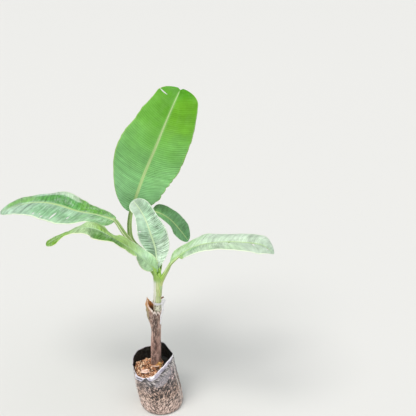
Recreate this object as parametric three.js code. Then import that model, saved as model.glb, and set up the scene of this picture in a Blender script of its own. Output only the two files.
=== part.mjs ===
// Young banana plant in a black nursery bag: bag, soil, one straight
// pseudostem and six leaves on short stalks. Millimetres, +Z up. The origin is
// the middle of the bag's flat underside.
import * as THREE from 'three';

// ---- driving dimensions -------------------------------------------------
const BAG_WALL = 2.0;            // as modelled; the film is folded and backed by soil
const BAG_FOOT_R = 66;           // flat underside
const BAG_R = 79.5;              // widest, low down
const BAG_RIM_R = 74.5;          // at the rim
const BAG_LEAN = -0.158;         // sideways shift of the axis per unit of height
const GAP = 0.35;                // between pieces that touch
// height of the uneven rim, every 30 degrees round from +X
const RIM_Z = [209.5, 203, 217, 199, 195, 190.5, 181, 157, 152, 166, 198, 212];
// height of the soil's edge, likewise
const SOIL_Z = [132, 128, 134, 145, 147, 154, 160, 149, 144, 150, 146, 140];
const SEAT = { x: -18.7, y: 0, z: 172, r: 25 };   // flat place the stem stands on

// pseudostem: centre and radius at heights from the cut at the soil to the crown
const STEM = [
  { x: -18.7, y: 0, z: 172.35, r: 21.0 },
  { x: -18.5, y: 0, z: 181, r: 19.2 },
  { x: -17.6, y: 0, z: 215, r: 18.6 },
  { x: -16.0, y: 0, z: 268, r: 18.0 },
  { x: -11.5, y: 0, z: 340, r: 16.6 },
  { x: -6.5, y: 0, z: 420, r: 14.8 },
  { x: -3.0, y: 0, z: 469, r: 13.6 },
  { x: -1.2, y: 0.5, z: 507, r: 15.2 },
  { x: -0.3, y: 1.0, z: 525, r: 17.0 },
];
const STEM_TOP = 525;

// The loose dry outer sheath stands away from the stem on its left.
const SHEATH = { z0: 318, z1: 440, a0: 138, a1: 232, stand: 25, thick: 1.6 };
const TIE = { z: 421, clear: 0.6, thick: 2.2, height: 5 };
const TAIL = { top: 428, bottom: 336, angle: -38, width: 6, thick: 1.2 };

const BLADE_T = 1.3;             // half thickness of a blade as modelled
const RIB_T = 4.0;               // extra depth under the midrib at the foot

// Leaves. path: midrib from the foot of the blade to its tip. right and left:
// half widths at even steps along it, seen from above looking outwards. foldR
// and foldL: degrees that each half rises from flat. roll: turn about the
// midrib. curl: bend of each half from the rib to the margin.
const LEAVES = {
  leaf_right: {
    az: -10, footRound: 0.2, tipRound: 0.12, curlR: -35, curlL: -20,
    path: [[42, -11, 576], [93, -15, 620], [141, -30, 650], [196, -41, 665], [266, -53, 672], [342, -57, 664], [383, -69, 638]],
    right: [54, 70, 81, 84, 77, 69, 49], left: [68, 71, 80, 84, 79, 69, 57],
    foldR: [18, 14, 20, 21, 18, 16, 24], foldL: [36, 15, 14, 11, 11, 11, 14], roll: [-4, 1, 1, 5, 2, 0, 5],
    start: 0.012, cuts: [0.5], stalk: [[14, -3, 0], [30, -7, 552]], r0: 4.0, r1: 8,
    colour: 0x9fce9b,
  },
  leaf_middle: {
    az: 110, footRound: 0.5, tipRound: 0.12, curlR: -15, curlL: -15,
    path: [[-2, 2, 547], [-7, 26, 577], [-13, 42, 614], [-28, 49, 663], [-42, 65, 698], [-60, 80, 730], [-86, 90, 765]],
    right: [22, 49, 57, 57, 45, 40, 32], left: [15, 29, 42, 47, 39, 31, 36],
    foldR: [29, 22, 16, 13, 11, 11, 12], foldL: [31, 26, 21, 17, 17, 16, 13], roll: [-1, -2, -2, -1, -2, -2, 0],
    start: 0.13, cuts: [], stalk: [[1, -8.5, 0], [-1, -5, 545]], r0: 3.6, r1: 5,
    colour: 0xa6d4b4,
  },
  leaf_left_front: {
    az: 190, footRound: 0.16, tipRound: 0.12, curlR: -25, curlL: -35,
    path: [[-2, -8, 541], [-34, -23, 585], [-80, -28, 632], [-111, -46, 664], [-148, -53, 693], [-196, -58, 722], [-243, -68, 726], [-294, -72, 706], [-349, -79, 674]],
    right: [24, 39, 51, 67, 67, 61, 49, 39, 32], left: [38, 50, 61, 67, 68, 66, 49, 37, 30],
    foldR: [71, 51, 30, 16, 13, 12, 7, 7, 13], foldL: [-4, -5, 16, 16, 16, 8, 14, 15, 4], roll: [1, -4, -7, -8, -9, 0, -8, -9, 4],
    start: 0.1, cuts: [0.42, 0.7], stalk: [[-11, -6, 0], [-17, -10, 546]], r0: 3.6, r1: 5,
    colour: 0x8cc878,
  },
  leaf_left_back: {
    az: 155, footRound: 0.15, tipRound: 0.2, curlR: -15, curlL: -30,
    path: [[-150, 81, 697], [-218, 99, 709], [-284, 112, 717], [-355, 128, 734], [-423, 140, 739], [-496, 151, 724], [-568, 157, 698]],
    right: [55, 76, 88, 95, 91, 79, 65], left: [67, 76, 87, 93, 89, 74, 54],
    foldR: [4, 12, 13, 17, 17, 22, 30], foldL: [-7, 4, -2, -4, -2, 0, 3], roll: [-8, -13, -7, -3, -5, -4, 1],
    start: 0.012, cuts: [0.5], stalk: [[-11, 5, 0], [-36, 30, 552], [-80, 54, 604], [-119, 71, 652]], r0: 3.6, r1: 6.5,
    colour: 0x93cba0,
  },
  leaf_tall: {
    az: 80, footRound: 0.2, tipRound: 0.1, curlR: -12, curlL: -12,
    path: [[-100, 124, 709], [-72, 127, 786], [-46, 144, 850], [-13, 154, 924], [20, 170, 1001], [52, 186, 1072], [78, 212, 1124]],
    right: [48, 84, 104, 113, 109, 97, 76], left: [68, 91, 121, 124, 105, 82, 77],
    foldR: [2, 13, 16, 13, 11, 13, 20], foldL: [17, 13, 13, 11, 8, 6, 12], roll: [-12, 1, 2, 1, 2, 5, 6],
    start: 0.012, cuts: [0.5], stalk: [[0, 2.5, 0], [-40, 52, 572], [-94, 84, 615], [-105, 104, 660]], r0: 5.5, r1: 7,
    colour: 0x6fb944,
  },
  leaf_rear: {
    az: 20, footRound: 0.22, tipRound: 0.2, curlR: -12, curlL: -15,
    path: [[-12, 104, 717], [11, 111, 705], [37, 119, 682], [57, 127, 656], [76, 135, 627], [99, 140, 592]],
    right: [20, 26, 32, 36, 33, 26], left: [24, 36, 42, 45, 45, 36],
    foldR: [17, 18, 16, 13, 14, 16], foldL: [14, 17, 17, 17, 18, 16], roll: [-31, -36, -40, -45, -45, -41],
    start: 0.012, cuts: [0.5], stalk: [[8, 9.5, 0], [5, 38, 560], [-10, 72, 640], [-18, 94, 694]], r0: 3.4, r1: 6,
    colour: 0x4c9447,
  },
};

// ---- helpers ------------------------------------------------------------
const rad = (d) => d * Math.PI / 180;
const V = (p) => new THREE.Vector3(p[0], p[1], p[2]);

// smooth value at u in [0, 1] through evenly spaced numbers or points
function along(values, u) {
  const n = values.length - 1;
  const x = Math.min(Math.max(u, 0), 1) * n;
  const i = Math.min(Math.floor(x), n - 1);
  const f = x - i;
  const get = (k) => values[Math.min(Math.max(k, 0), n)];
  const mix = (a, b, c, d) => {
    const m1 = i === 0 ? c - b : (c - a) / 2;
    const m2 = i + 1 === n ? c - b : (d - b) / 2;
    return (2 * f ** 3 - 3 * f ** 2 + 1) * b + (f ** 3 - 2 * f ** 2 + f) * m1
      + (-2 * f ** 3 + 3 * f ** 2) * c + (f ** 3 - f ** 2) * m2;
  };
  const [a, b, c, d] = [get(i - 1), get(i), get(i + 1), get(i + 2)];
  return Array.isArray(b) ? b.map((_, k) => mix(a[k], b[k], c[k], d[k])) : mix(a, b, c, d);
}

// smooth value round a closed table, a in degrees
function round(values, a) {
  const n = values.length;
  const x = (((a / 360) % 1) + 1) % 1 * n;
  const i = Math.floor(x);
  const f = x - i;
  const [p, q, r, s] = [-1, 0, 1, 2].map((k) => values[(i + k + n) % n]);
  return (2 * f ** 3 - 3 * f ** 2 + 1) * q + (f ** 3 - 2 * f ** 2 + f) * (r - p) / 2
    + (-2 * f ** 3 + 3 * f ** 2) * r + (f ** 3 - f ** 2) * (s - q) / 2;
}

// Closed solid through rings of the same even number of points. Each end is
// closed by strips that join the ring's first half to its second.
function loft(rings) {
  const n = rings[0].length;
  const pos = rings.flat().flatMap((p) => [p.x, p.y, p.z]);
  const tri = [];
  for (let k = 0; k + 1 < rings.length; k++) {
    for (let i = 0; i < n; i++) {
      const a = k * n + i, b = k * n + (i + 1) % n, c = a + n, d = b + n;
      tri.push(a, b, d, a, d, c);
    }
  }
  const cap = (o, flip) => {
    for (let i = 0; i < n / 2 - 1; i++) {
      const [a, b, c, d] = [o + i, o + i + 1, o + n - 2 - i, o + n - 1 - i];
      const add = (x, y, z) => (flip ? tri.push(x, z, y) : tri.push(x, y, z));
      add(a, c, b);
      add(a, d, c);
    }
  };
  cap(0, false);
  cap((rings.length - 1) * n, true);
  const g = new THREE.BufferGeometry();
  g.setAttribute('position', new THREE.Float32BufferAttribute(pos, 3));
  g.setIndex(tri);
  return outward(g);
}

// faces turned out, whichever way the rings ran
function outward(g) {
  const p = g.attributes.position.array;
  const t = Array.from(g.index.array);
  let vol = 0;
  for (let i = 0; i < t.length; i += 3) {
    const [a, b, c] = [0, 1, 2].map((k) => V(p.slice(3 * t[i + k], 3 * t[i + k] + 3)));
    vol += a.dot(b.cross(c));
  }
  if (vol < 0) for (let i = 0; i < t.length; i += 3) [t[i + 1], t[i + 2]] = [t[i + 2], t[i + 1]];
  g.setIndex(t);
  g.computeVertexNormals();
  return g;
}

const group = new THREE.Group();
function add(name, geometry, colour, roughness = 0.6) {
  const mesh = new THREE.Mesh(geometry, new THREE.MeshStandardMaterial({ color: colour, roughness, metalness: 0 }));
  mesh.name = name;
  group.add(mesh);
}

// ---- bag and soil -------------------------------------------------------
const BAG_SIDES = 36;
function bagRadius(z) {
  if (z < 24) { const t = z / 24; return BAG_FOOT_R + (BAG_R - 1.5 - BAG_FOOT_R) * Math.sqrt(Math.max(0, 1 - (1 - t) ** 2)); }
  const t = (z - 24) / 176;
  return BAG_R - 1.5 + 1.5 * Math.sin(Math.PI * Math.min(1, t * 1.8)) + (BAG_RIM_R - BAG_R + 1.5) * Math.max(0, t) ** 1.3;
}
// a level ring, or one that takes on the rim's shape as it nears the top
function bagRing(height, inset, upTo) {
  const ring = [];
  for (let i = 0; i < BAG_SIDES; i++) {
    const a = 360 * i / BAG_SIDES;
    const z = height(a);
    const r = bagRadius(z) - inset;
    ring.push(new THREE.Vector3(BAG_LEAN * z + r * Math.cos(rad(a)), r * Math.sin(rad(a)), z));
  }
  return ring;
}
const rimAt = (a) => round(RIM_Z, a);
const soilAt = (a) => round(SOIL_Z, a);
const blendTo = (top, f) => (a) => {
  const k = f ** 2;
  return f * (150 + (top(a) - 150) * k / (f || 1));
};
{
  const rings = [];
  for (const z of [0, 4, 12, 24]) rings.push(bagRing(() => z, 0));
  for (const f of [0.35, 0.55, 0.75, 0.9, 1]) rings.push(bagRing(blendTo(rimAt, f), 0));
  for (const f of [1, 0.9, 0.75, 0.55, 0.35]) rings.push(bagRing(blendTo(rimAt, f), BAG_WALL));
  for (const z of [24, 12, 4, BAG_WALL]) rings.push(bagRing(() => z, BAG_WALL));
  add('bag', loft(rings), 0x3a3a3f, 0.55);
}
{
  const rings = [];
  const inset = BAG_WALL + GAP;
  for (const z of [BAG_WALL + GAP, 4.5, 12, 24]) rings.push(bagRing(() => z, inset + 0.15));
  for (const f of [0.35, 0.55, 0.75, 0.9, 1]) rings.push(bagRing(blendTo(soilAt, f), inset + 0.5));
  // the top, drawn in from the edge to the stem's seat with small rises and dips
  const edge = rings[rings.length - 1];
  for (const f of [0.2, 0.45, 0.72, 1]) {
    rings.push(edge.map((p, i) => {
      const a = rad(360 * i / BAG_SIDES);
      const seat = new THREE.Vector3(SEAT.x + SEAT.r * Math.cos(a), SEAT.y + SEAT.r * Math.sin(a), SEAT.z);
      const q = p.clone().lerp(seat, f);
      q.z += f < 1 ? 1.6 * Math.sin(5 * a + 9 * f) * Math.sin(Math.PI * f) + 2.2 * Math.sin(Math.PI * f) : 0;
      return q;
    }));
  }
  add('soil', loft(rings), 0xb87a46, 0.95);
}

// ---- stem, dry sheath and tie ------------------------------------------
function stemAt(z) {
  const s = STEM;
  let i = 0;
  while (i + 2 < s.length && s[i + 1].z < z) i++;
  const t = Math.min(Math.max((z - s[i].z) / (s[i + 1].z - s[i].z), 0), 1);
  const mix = (k) => s[i][k] + (s[i + 1][k] - s[i][k]) * t;
  return { x: mix('x'), y: mix('y'), r: mix('r') };
}
const STEM_SIDES = 20;
add('stem', loft(STEM.map((s) => Array.from({ length: STEM_SIDES }, (_, i) => {
  const a = rad(360 * i / STEM_SIDES);
  return new THREE.Vector3(s.x + s.r * Math.cos(a), s.y + s.r * Math.sin(a), s.z);
}))), 0x8f7563, 0.8);

{
  // an arc of sheath that leaves the stem as it rises and narrows to its torn tip
  const rings = [];
  const steps = 8, across = 6;
  for (let k = 0; k <= steps; k++) {
    const t = k / steps;
    const z = SHEATH.z0 + (SHEATH.z1 - SHEATH.z0) * t;
    const s = stemAt(z);
    const off = s.r + GAP + 0.5 + SHEATH.stand * Math.sin(Math.PI / 2 * t) ** 1.6;
    const mid = (SHEATH.a0 + SHEATH.a1) / 2, half = (SHEATH.a1 - SHEATH.a0) / 2 * (1 - 0.72 * t);
    const arc = (r) => Array.from({ length: across + 1 }, (_, j) => {
      const a = rad(mid + half * (2 * j / across - 1));
      return new THREE.Vector3(s.x + r * Math.cos(a), s.y + r * Math.sin(a), z);
    });
    rings.push([...arc(off), ...arc(off + SHEATH.thick).reverse()]);
  }
  add('dry_sheath', loft(rings), 0x6e4b3c, 0.9);
}
{
  const s = stemAt(TIE.z);
  const r0 = stemAt(TIE.z + 0).r + TIE.clear, h = TIE.height / 2;
  const profile = [[r0, -h], [r0 + TIE.thick, -h], [r0 + TIE.thick, h], [r0, h], [r0, -h]];
  const g = new THREE.LatheGeometry(profile.map((p) => new THREE.Vector2(p[0], p[1])), 28);
  g.rotateX(Math.PI / 2);
  g.translate(s.x, s.y, TIE.z);
  const m = new THREE.BufferGeometry();
  m.setAttribute('position', g.attributes.position);
  m.setIndex(g.index);
  add('tie', outward(m), 0xe8e8e4, 0.5);

  // the loose end of the tie lies down the front of the stem
  const rings = [];
  for (let k = 0; k <= 8; k++) {
    const t = k / 8;
    const z = TIE.z - TIE.height / 2 - 1 + (TAIL.bottom - TIE.z + TIE.height / 2 + 1) * t;
    const q = stemAt(z);
    const a = rad(TAIL.angle - 8 * t), r = q.r + 0.9 + 1.6 * (1 - t) ** 2;
    const out = new THREE.Vector3(Math.cos(a), Math.sin(a), 0), side = new THREE.Vector3(-Math.sin(a), Math.cos(a), 0);
    const c = new THREE.Vector3(q.x, q.y, z).addScaledVector(out, r);
    const w = TAIL.width / 2 * (1 - 0.35 * t);
    rings.push([[-w, 0], [w, 0], [w, TAIL.thick], [-w, TAIL.thick]].map(([x, y]) => c.clone().addScaledVector(side, x).addScaledVector(out, y)));
  }
  add('tie_tail', loft(rings), 0xe8e8e4, 0.5);
}

// ---- leaves -------------------------------------------------------------
const UP = new THREE.Vector3(0, 0, 1);
function frameAt(leaf, u) {
  const e = 1e-3;
  const t = V(along(leaf.path, Math.min(u + e, 1))).sub(V(along(leaf.path, Math.max(u - e, 0)))).normalize();
  const b0 = new THREE.Vector3(Math.sin(rad(leaf.az)), -Math.cos(rad(leaf.az)), 0);
  b0.addScaledVector(t, -b0.dot(t)).normalize();
  const n0 = b0.clone().cross(t);
  const r = rad(along(leaf.roll, u));
  const b = b0.clone().multiplyScalar(Math.cos(r)).addScaledVector(n0, Math.sin(r));
  const n = b0.clone().multiplyScalar(-Math.sin(r)).addScaledVector(n0, Math.cos(r));
  return { m: V(along(leaf.path, u)), t, b, n };
}
// rounded shape of the blade's two ends, 0 to 1
function ends(leaf, u) {
  let k = 1;
  if (u < leaf.footRound) k *= Math.sqrt(Math.max(0, 1 - (1 - u / leaf.footRound) ** 2));
  if (u > 1 - leaf.tipRound) k *= Math.sqrt(Math.max(0, 1 - ((u - 1 + leaf.tipRound) / leaf.tipRound) ** 2));
  return k;
}
// point of the blade at u along and v across, v from -1 (left) to 1 (right)
function bladeAt(leaf, u, v) {
  const { m, b, n } = frameAt(leaf, u);
  const side = v < 0 ? -1 : 1, q = Math.abs(v);
  const w = along(side > 0 ? leaf.right : leaf.left, u) * ends(leaf, u);
  const f = rad(along(side > 0 ? leaf.foldR : leaf.foldL, u));
  const c = rad(side > 0 ? leaf.curlR : leaf.curlL);
  const x = w * (Math.sin(f + c * q) - Math.sin(f)) / c;
  const z = -w * (Math.cos(f + c * q) - Math.cos(f)) / c;
  return m.clone().addScaledVector(b, side * x).addScaledVector(n, z);
}
const ACROSS = [-1, -0.7, -0.36, 0, 0.36, 0.7, 1];
function bladePiece(leaf, ua, ub, steps, easeFoot, easeTip) {
  const rings = [];
  for (let k = 0; k <= steps; k++) {
    let t = k / steps;
    if (easeFoot) t = 1 - Math.cos(Math.PI / 2 * t);
    else if (easeTip) t = Math.sin(Math.PI / 2 * t);
    const u = ua + (ub - ua) * t;
    const { n, t: tangent } = frameAt(leaf, u);
    const top = [], under = [];
    for (const v of ACROSS) {
      const p = bladeAt(leaf, u, v);
      const step = 0.02 * (v >= 1 ? -1 : 1);
      const across = bladeAt(leaf, u, v + step).sub(p).multiplyScalar(Math.sign(step));
      const nn = Math.abs(v) < 1e-6 ? n.clone() : across.cross(tangent).normalize();
      if (nn.dot(n) < 0) nn.negate();
      const rib = v === 0 ? RIB_T * (1 - 0.75 * u) : 0;
      top.push(p.clone().addScaledVector(nn, BLADE_T));
      under.push(p.clone().addScaledVector(nn, -BLADE_T - rib));
    }
    rings.push([...top, ...under.reverse()]);
  }
  return loft(rings);
}
function stalkOf(leaf) {
  const foot = leaf.stalk.map((p) => [p[0], p[1], p[2] || STEM_TOP + GAP]);
  const end = frameAt(leaf, leaf.start);
  const last = end.m.clone().addScaledVector(end.t, -1.2).addScaledVector(end.n, -1);
  const pts = [...foot, last.toArray()];
  const rings = [];
  const steps = 4 * (pts.length - 1), sides = 8;
  for (let k = 0; k <= steps; k++) {
    const t = k / steps;
    const c = V(along(pts, t));
    let d = V(along(pts, Math.min(t + 0.01, 1))).sub(V(along(pts, Math.max(t - 0.01, 0)))).normalize();
    if (k === 0) d = UP.clone();
    if (k === steps) d = end.t.clone();
    const x = new THREE.Vector3(Math.sin(rad(leaf.az)), -Math.cos(rad(leaf.az)), 0);
    x.addScaledVector(d, -x.dot(d)).normalize();
    const y = x.clone().cross(d);
    const r = leaf.r0 + (leaf.r1 - leaf.r0) * Math.sin(Math.PI / 2 * t);
    rings.push(Array.from({ length: sides }, (_, i) => {
      const a = 2 * Math.PI * (i + 0.5) / sides;
      return c.clone().addScaledVector(x, r * Math.cos(a)).addScaledVector(y, 0.75 * r * Math.sin(a));
    }));
  }
  return loft(rings);
}
const PART = { 1: ['blade'], 2: ['inner', 'outer'], 3: ['inner', 'bend', 'outer'] };
for (const [name, leaf] of Object.entries(LEAVES)) {
  add(`${name}_stalk`, stalkOf(leaf), 0x9cc56f, 0.5);
  const stops = [leaf.start, ...leaf.cuts, 0.988];
  const count = stops.length - 1;
  const length = leaf.path.slice(1).reduce((s, p, i) => s + V(p).distanceTo(V(leaf.path[i])), 0);
  const slack = 0.5 * GAP / length;
  for (let k = 0; k < count; k++) {
    const ua = stops[k] + (k ? slack : 0), ub = stops[k + 1] - (k + 1 < count ? slack : 0);
    const one = count === 1;
    add(`${name}_${PART[count][k]}`, bladePiece(leaf, ua, ub, one ? 12 : 9, !one && k === 0, !one && k === count - 1), leaf.colour, 0.5);
  }
}

export default group;
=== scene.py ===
import math
import random

import bpy
import numpy as np
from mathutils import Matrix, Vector


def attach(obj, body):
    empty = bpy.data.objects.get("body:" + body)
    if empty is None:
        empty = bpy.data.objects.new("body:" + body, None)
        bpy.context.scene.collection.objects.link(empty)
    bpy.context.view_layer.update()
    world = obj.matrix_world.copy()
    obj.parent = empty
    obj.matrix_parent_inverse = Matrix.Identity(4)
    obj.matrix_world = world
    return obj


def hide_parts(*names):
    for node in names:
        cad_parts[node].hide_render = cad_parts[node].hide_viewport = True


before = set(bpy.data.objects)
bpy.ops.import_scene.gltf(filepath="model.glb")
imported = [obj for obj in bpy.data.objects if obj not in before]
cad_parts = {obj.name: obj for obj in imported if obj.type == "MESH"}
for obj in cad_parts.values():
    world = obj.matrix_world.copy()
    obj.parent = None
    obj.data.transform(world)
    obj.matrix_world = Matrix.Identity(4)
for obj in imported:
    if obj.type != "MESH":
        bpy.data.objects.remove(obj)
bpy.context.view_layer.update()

random.seed(11)
MM = 0.001


# ---------------------------------------------------------------- noise
def _hash(ix, iy, iz, seed):
    n = (ix.astype(np.int64) * 374761393 + iy.astype(np.int64) * 668265263 + iz.astype(np.int64) * 2147483647 + seed * 1274126177) & 0xFFFFFFFF
    n = ((n ^ (n >> 13)) * 1274126177) & 0xFFFFFFFF
    n = (n ^ (n >> 16)) & 0xFFFFFFFF
    n = (n * 2246822519) & 0xFFFFFFFF
    n = (n ^ (n >> 15)) & 0xFFFFFFFF
    return n / 4294967296.0


def vnoise(x, y=0.0, z=0.0, seed=0):
    """smooth value noise from -1 to 1"""
    x, y, z = np.broadcast_arrays(np.asarray(x, float), np.asarray(y, float), np.asarray(z, float))
    ix, iy, iz = np.floor(x), np.floor(y), np.floor(z)
    fx, fy, fz = x - ix, y - iy, z - iz
    fx, fy, fz = [f * f * (3 - 2 * f) for f in (fx, fy, fz)]
    out = 0.0
    for a in (0, 1):
        for b in (0, 1):
            for c in (0, 1):
                w = (fx if a else 1 - fx) * (fy if b else 1 - fy) * (fz if c else 1 - fz)
                out = out + w * _hash(ix + a, iy + b, iz + c, seed)
    return out * 2 - 1


def fbm(x, y=0.0, z=0.0, seed=0, octaves=3):
    s, a = 0.0, 1.0
    t = 0.0
    for k in range(octaves):
        s = s + a * vnoise(np.asarray(x) * 2 ** k, np.asarray(y) * 2 ** k, np.asarray(z) * 2 ** k, seed + 17 * k)
        t += a
        a *= 0.5
    return s / t


def cells(x, y, wrap, seed=0):
    """distance to the nearest of one jittered point in each unit cell, and a number for that cell; x wraps at wrap"""
    ix, iy = np.floor(x), np.floor(y)
    best = np.full(np.shape(x), 9.0)
    second = np.full(np.shape(x), 9.0)
    tag = np.zeros(np.shape(x))
    zero = np.zeros(np.shape(x))
    for a in (-1, 0, 1):
        for b in (-1, 0, 1):
            cx, cy = ix + a, iy + b
            wx = np.mod(cx, wrap)
            px = cx + 0.15 + 0.7 * _hash(wx, cy, zero, seed)
            py = cy + 0.15 + 0.7 * _hash(wx, cy, zero, seed + 1)
            d = np.hypot(px - x, py - y)
            t = _hash(wx, cy, zero, seed + 2)
            nearer = d < best
            second = np.where(nearer, best, np.minimum(second, d))
            tag = np.where(nearer, t, tag)
            best = np.where(nearer, d, best)
    return best, second, tag


def smooth(a, b, x):
    t = np.clip((np.asarray(x, float) - a) / (b - a), 0, 1)
    return t * t * (3 - 2 * t)


def along(vals, u):
    """smooth value at u in [0, 1] through evenly spaced numbers or points"""
    v = np.asarray(vals, float)
    n = len(v) - 1
    x = np.clip(np.asarray(u, float), 0, 1) * n
    i = np.minimum(x.astype(int), n - 1)
    f = x - i
    p1, p2 = v[i], v[i + 1]
    p0, p3 = v[np.maximum(i - 1, 0)], v[np.minimum(i + 2, n)]
    first, last = i == 0, i + 1 == n
    if v.ndim > 1:
        f, first, last = f[..., None], first[..., None], last[..., None]
    m1 = np.where(first, p2 - p1, (p2 - p0) / 2)
    m2 = np.where(last, p2 - p1, (p3 - p1) / 2)
    return (2 * f ** 3 - 3 * f ** 2 + 1) * p1 + (f ** 3 - 2 * f ** 2 + f) * m1 + (-2 * f ** 3 + 3 * f ** 2) * p2 + (f ** 3 - f ** 2) * m2


def around(vals, deg):
    """smooth value round a closed table"""
    v = np.asarray(vals, float)
    n = len(v)
    x = np.mod(np.asarray(deg, float) / 360.0, 1.0) * n
    i = x.astype(int) % n
    f = x - np.floor(x)
    p, q, r, s = v[(i - 1) % n], v[i], v[(i + 1) % n], v[(i + 2) % n]
    return (2 * f ** 3 - 3 * f ** 2 + 1) * q + (f ** 3 - 2 * f ** 2 + f) * (r - p) / 2 + (-2 * f ** 3 + 3 * f ** 2) * r + (f ** 3 - f ** 2) * (s - q) / 2


def unit(a):
    return a / np.maximum(np.linalg.norm(a, axis=-1, keepdims=True), 1e-12)


# ---------------------------------------------------------------- meshes
def build(name, verts, faces, mats, uv=None, replaces=(), face_mat=None, flat=False):
    me = bpy.data.meshes.new(name)
    me.from_pydata(np.asarray(verts, float).tolist(), [], faces if isinstance(faces, list) else faces.tolist())
    if uv is not None:
        layer = me.uv_layers.new(name="UVMap")
        idx = np.empty(len(me.loops), dtype=np.int32)
        me.loops.foreach_get("vertex_index", idx)
        layer.data.foreach_set("uv", np.asarray(uv, float)[idx].ravel())
    for m in mats if isinstance(mats, (list, tuple)) else [mats]:
        me.materials.append(m)
    if face_mat is not None:
        me.polygons.foreach_set("material_index", np.asarray(face_mat, dtype=np.int32))
    if not flat:
        me.polygons.foreach_set("use_smooth", np.ones(len(me.polygons), dtype=bool))
    me.validate()
    me.update()
    ob = bpy.data.objects.new(name, me)
    bpy.context.scene.collection.objects.link(ob)
    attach(ob, "root")
    if replaces:
        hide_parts(*replaces)
    return ob


def grid_faces(rows, cols, wrap=False, offset=0, flip=False):
    r = np.arange(rows - 1)[:, None]
    n = cols if wrap else cols - 1
    c = np.arange(n)[None, :]
    c2 = (c + 1) % cols
    a, b = r * cols + c, r * cols + c2
    q = np.stack([a, b, b + cols, a + cols], -1).reshape(-1, 4) + offset
    return q[:, ::-1] if flip else q


def outward(verts, faces):
    """the faces, turned so that the closed mesh's volume is positive"""
    v = np.asarray(verts)
    vol = 0.0
    for f in faces:
        for k in range(1, len(f) - 1):
            vol += float(np.dot(v[f[0]], np.cross(v[f[k]], v[f[k + 1]])))
    return [list(f)[::-1] for f in faces] if vol < 0 else [list(f) for f in faces]


def closed_sweep(rings, caps=True):
    """vertices and faces of rings (n x m x 3), each closed, with both ends capped"""
    n, m, _ = rings.shape
    v = rings.reshape(-1, 3)
    f = grid_faces(n, m, wrap=True)
    faces = f.tolist()
    if caps:
        c0, c1 = rings[0].mean(0), rings[-1].mean(0)
        v = np.vstack([v, c0, c1])
        i0, i1 = n * m, n * m + 1
        for k in range(m):
            faces.append([i0, (k + 1) % m, k])
            faces.append([i1, (n - 1) * m + k, (n - 1) * m + (k + 1) % m])
    p = rings
    # the first ring's turn tells which way the faces look
    q = np.cross(p[0, 1] - p[0, 0], p[1, 0] - p[0, 0])
    if np.dot(q, p[0, 0] - p[0].mean(0)) < 0:
        faces = [g[::-1] for g in faces]
    return v, faces


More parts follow.
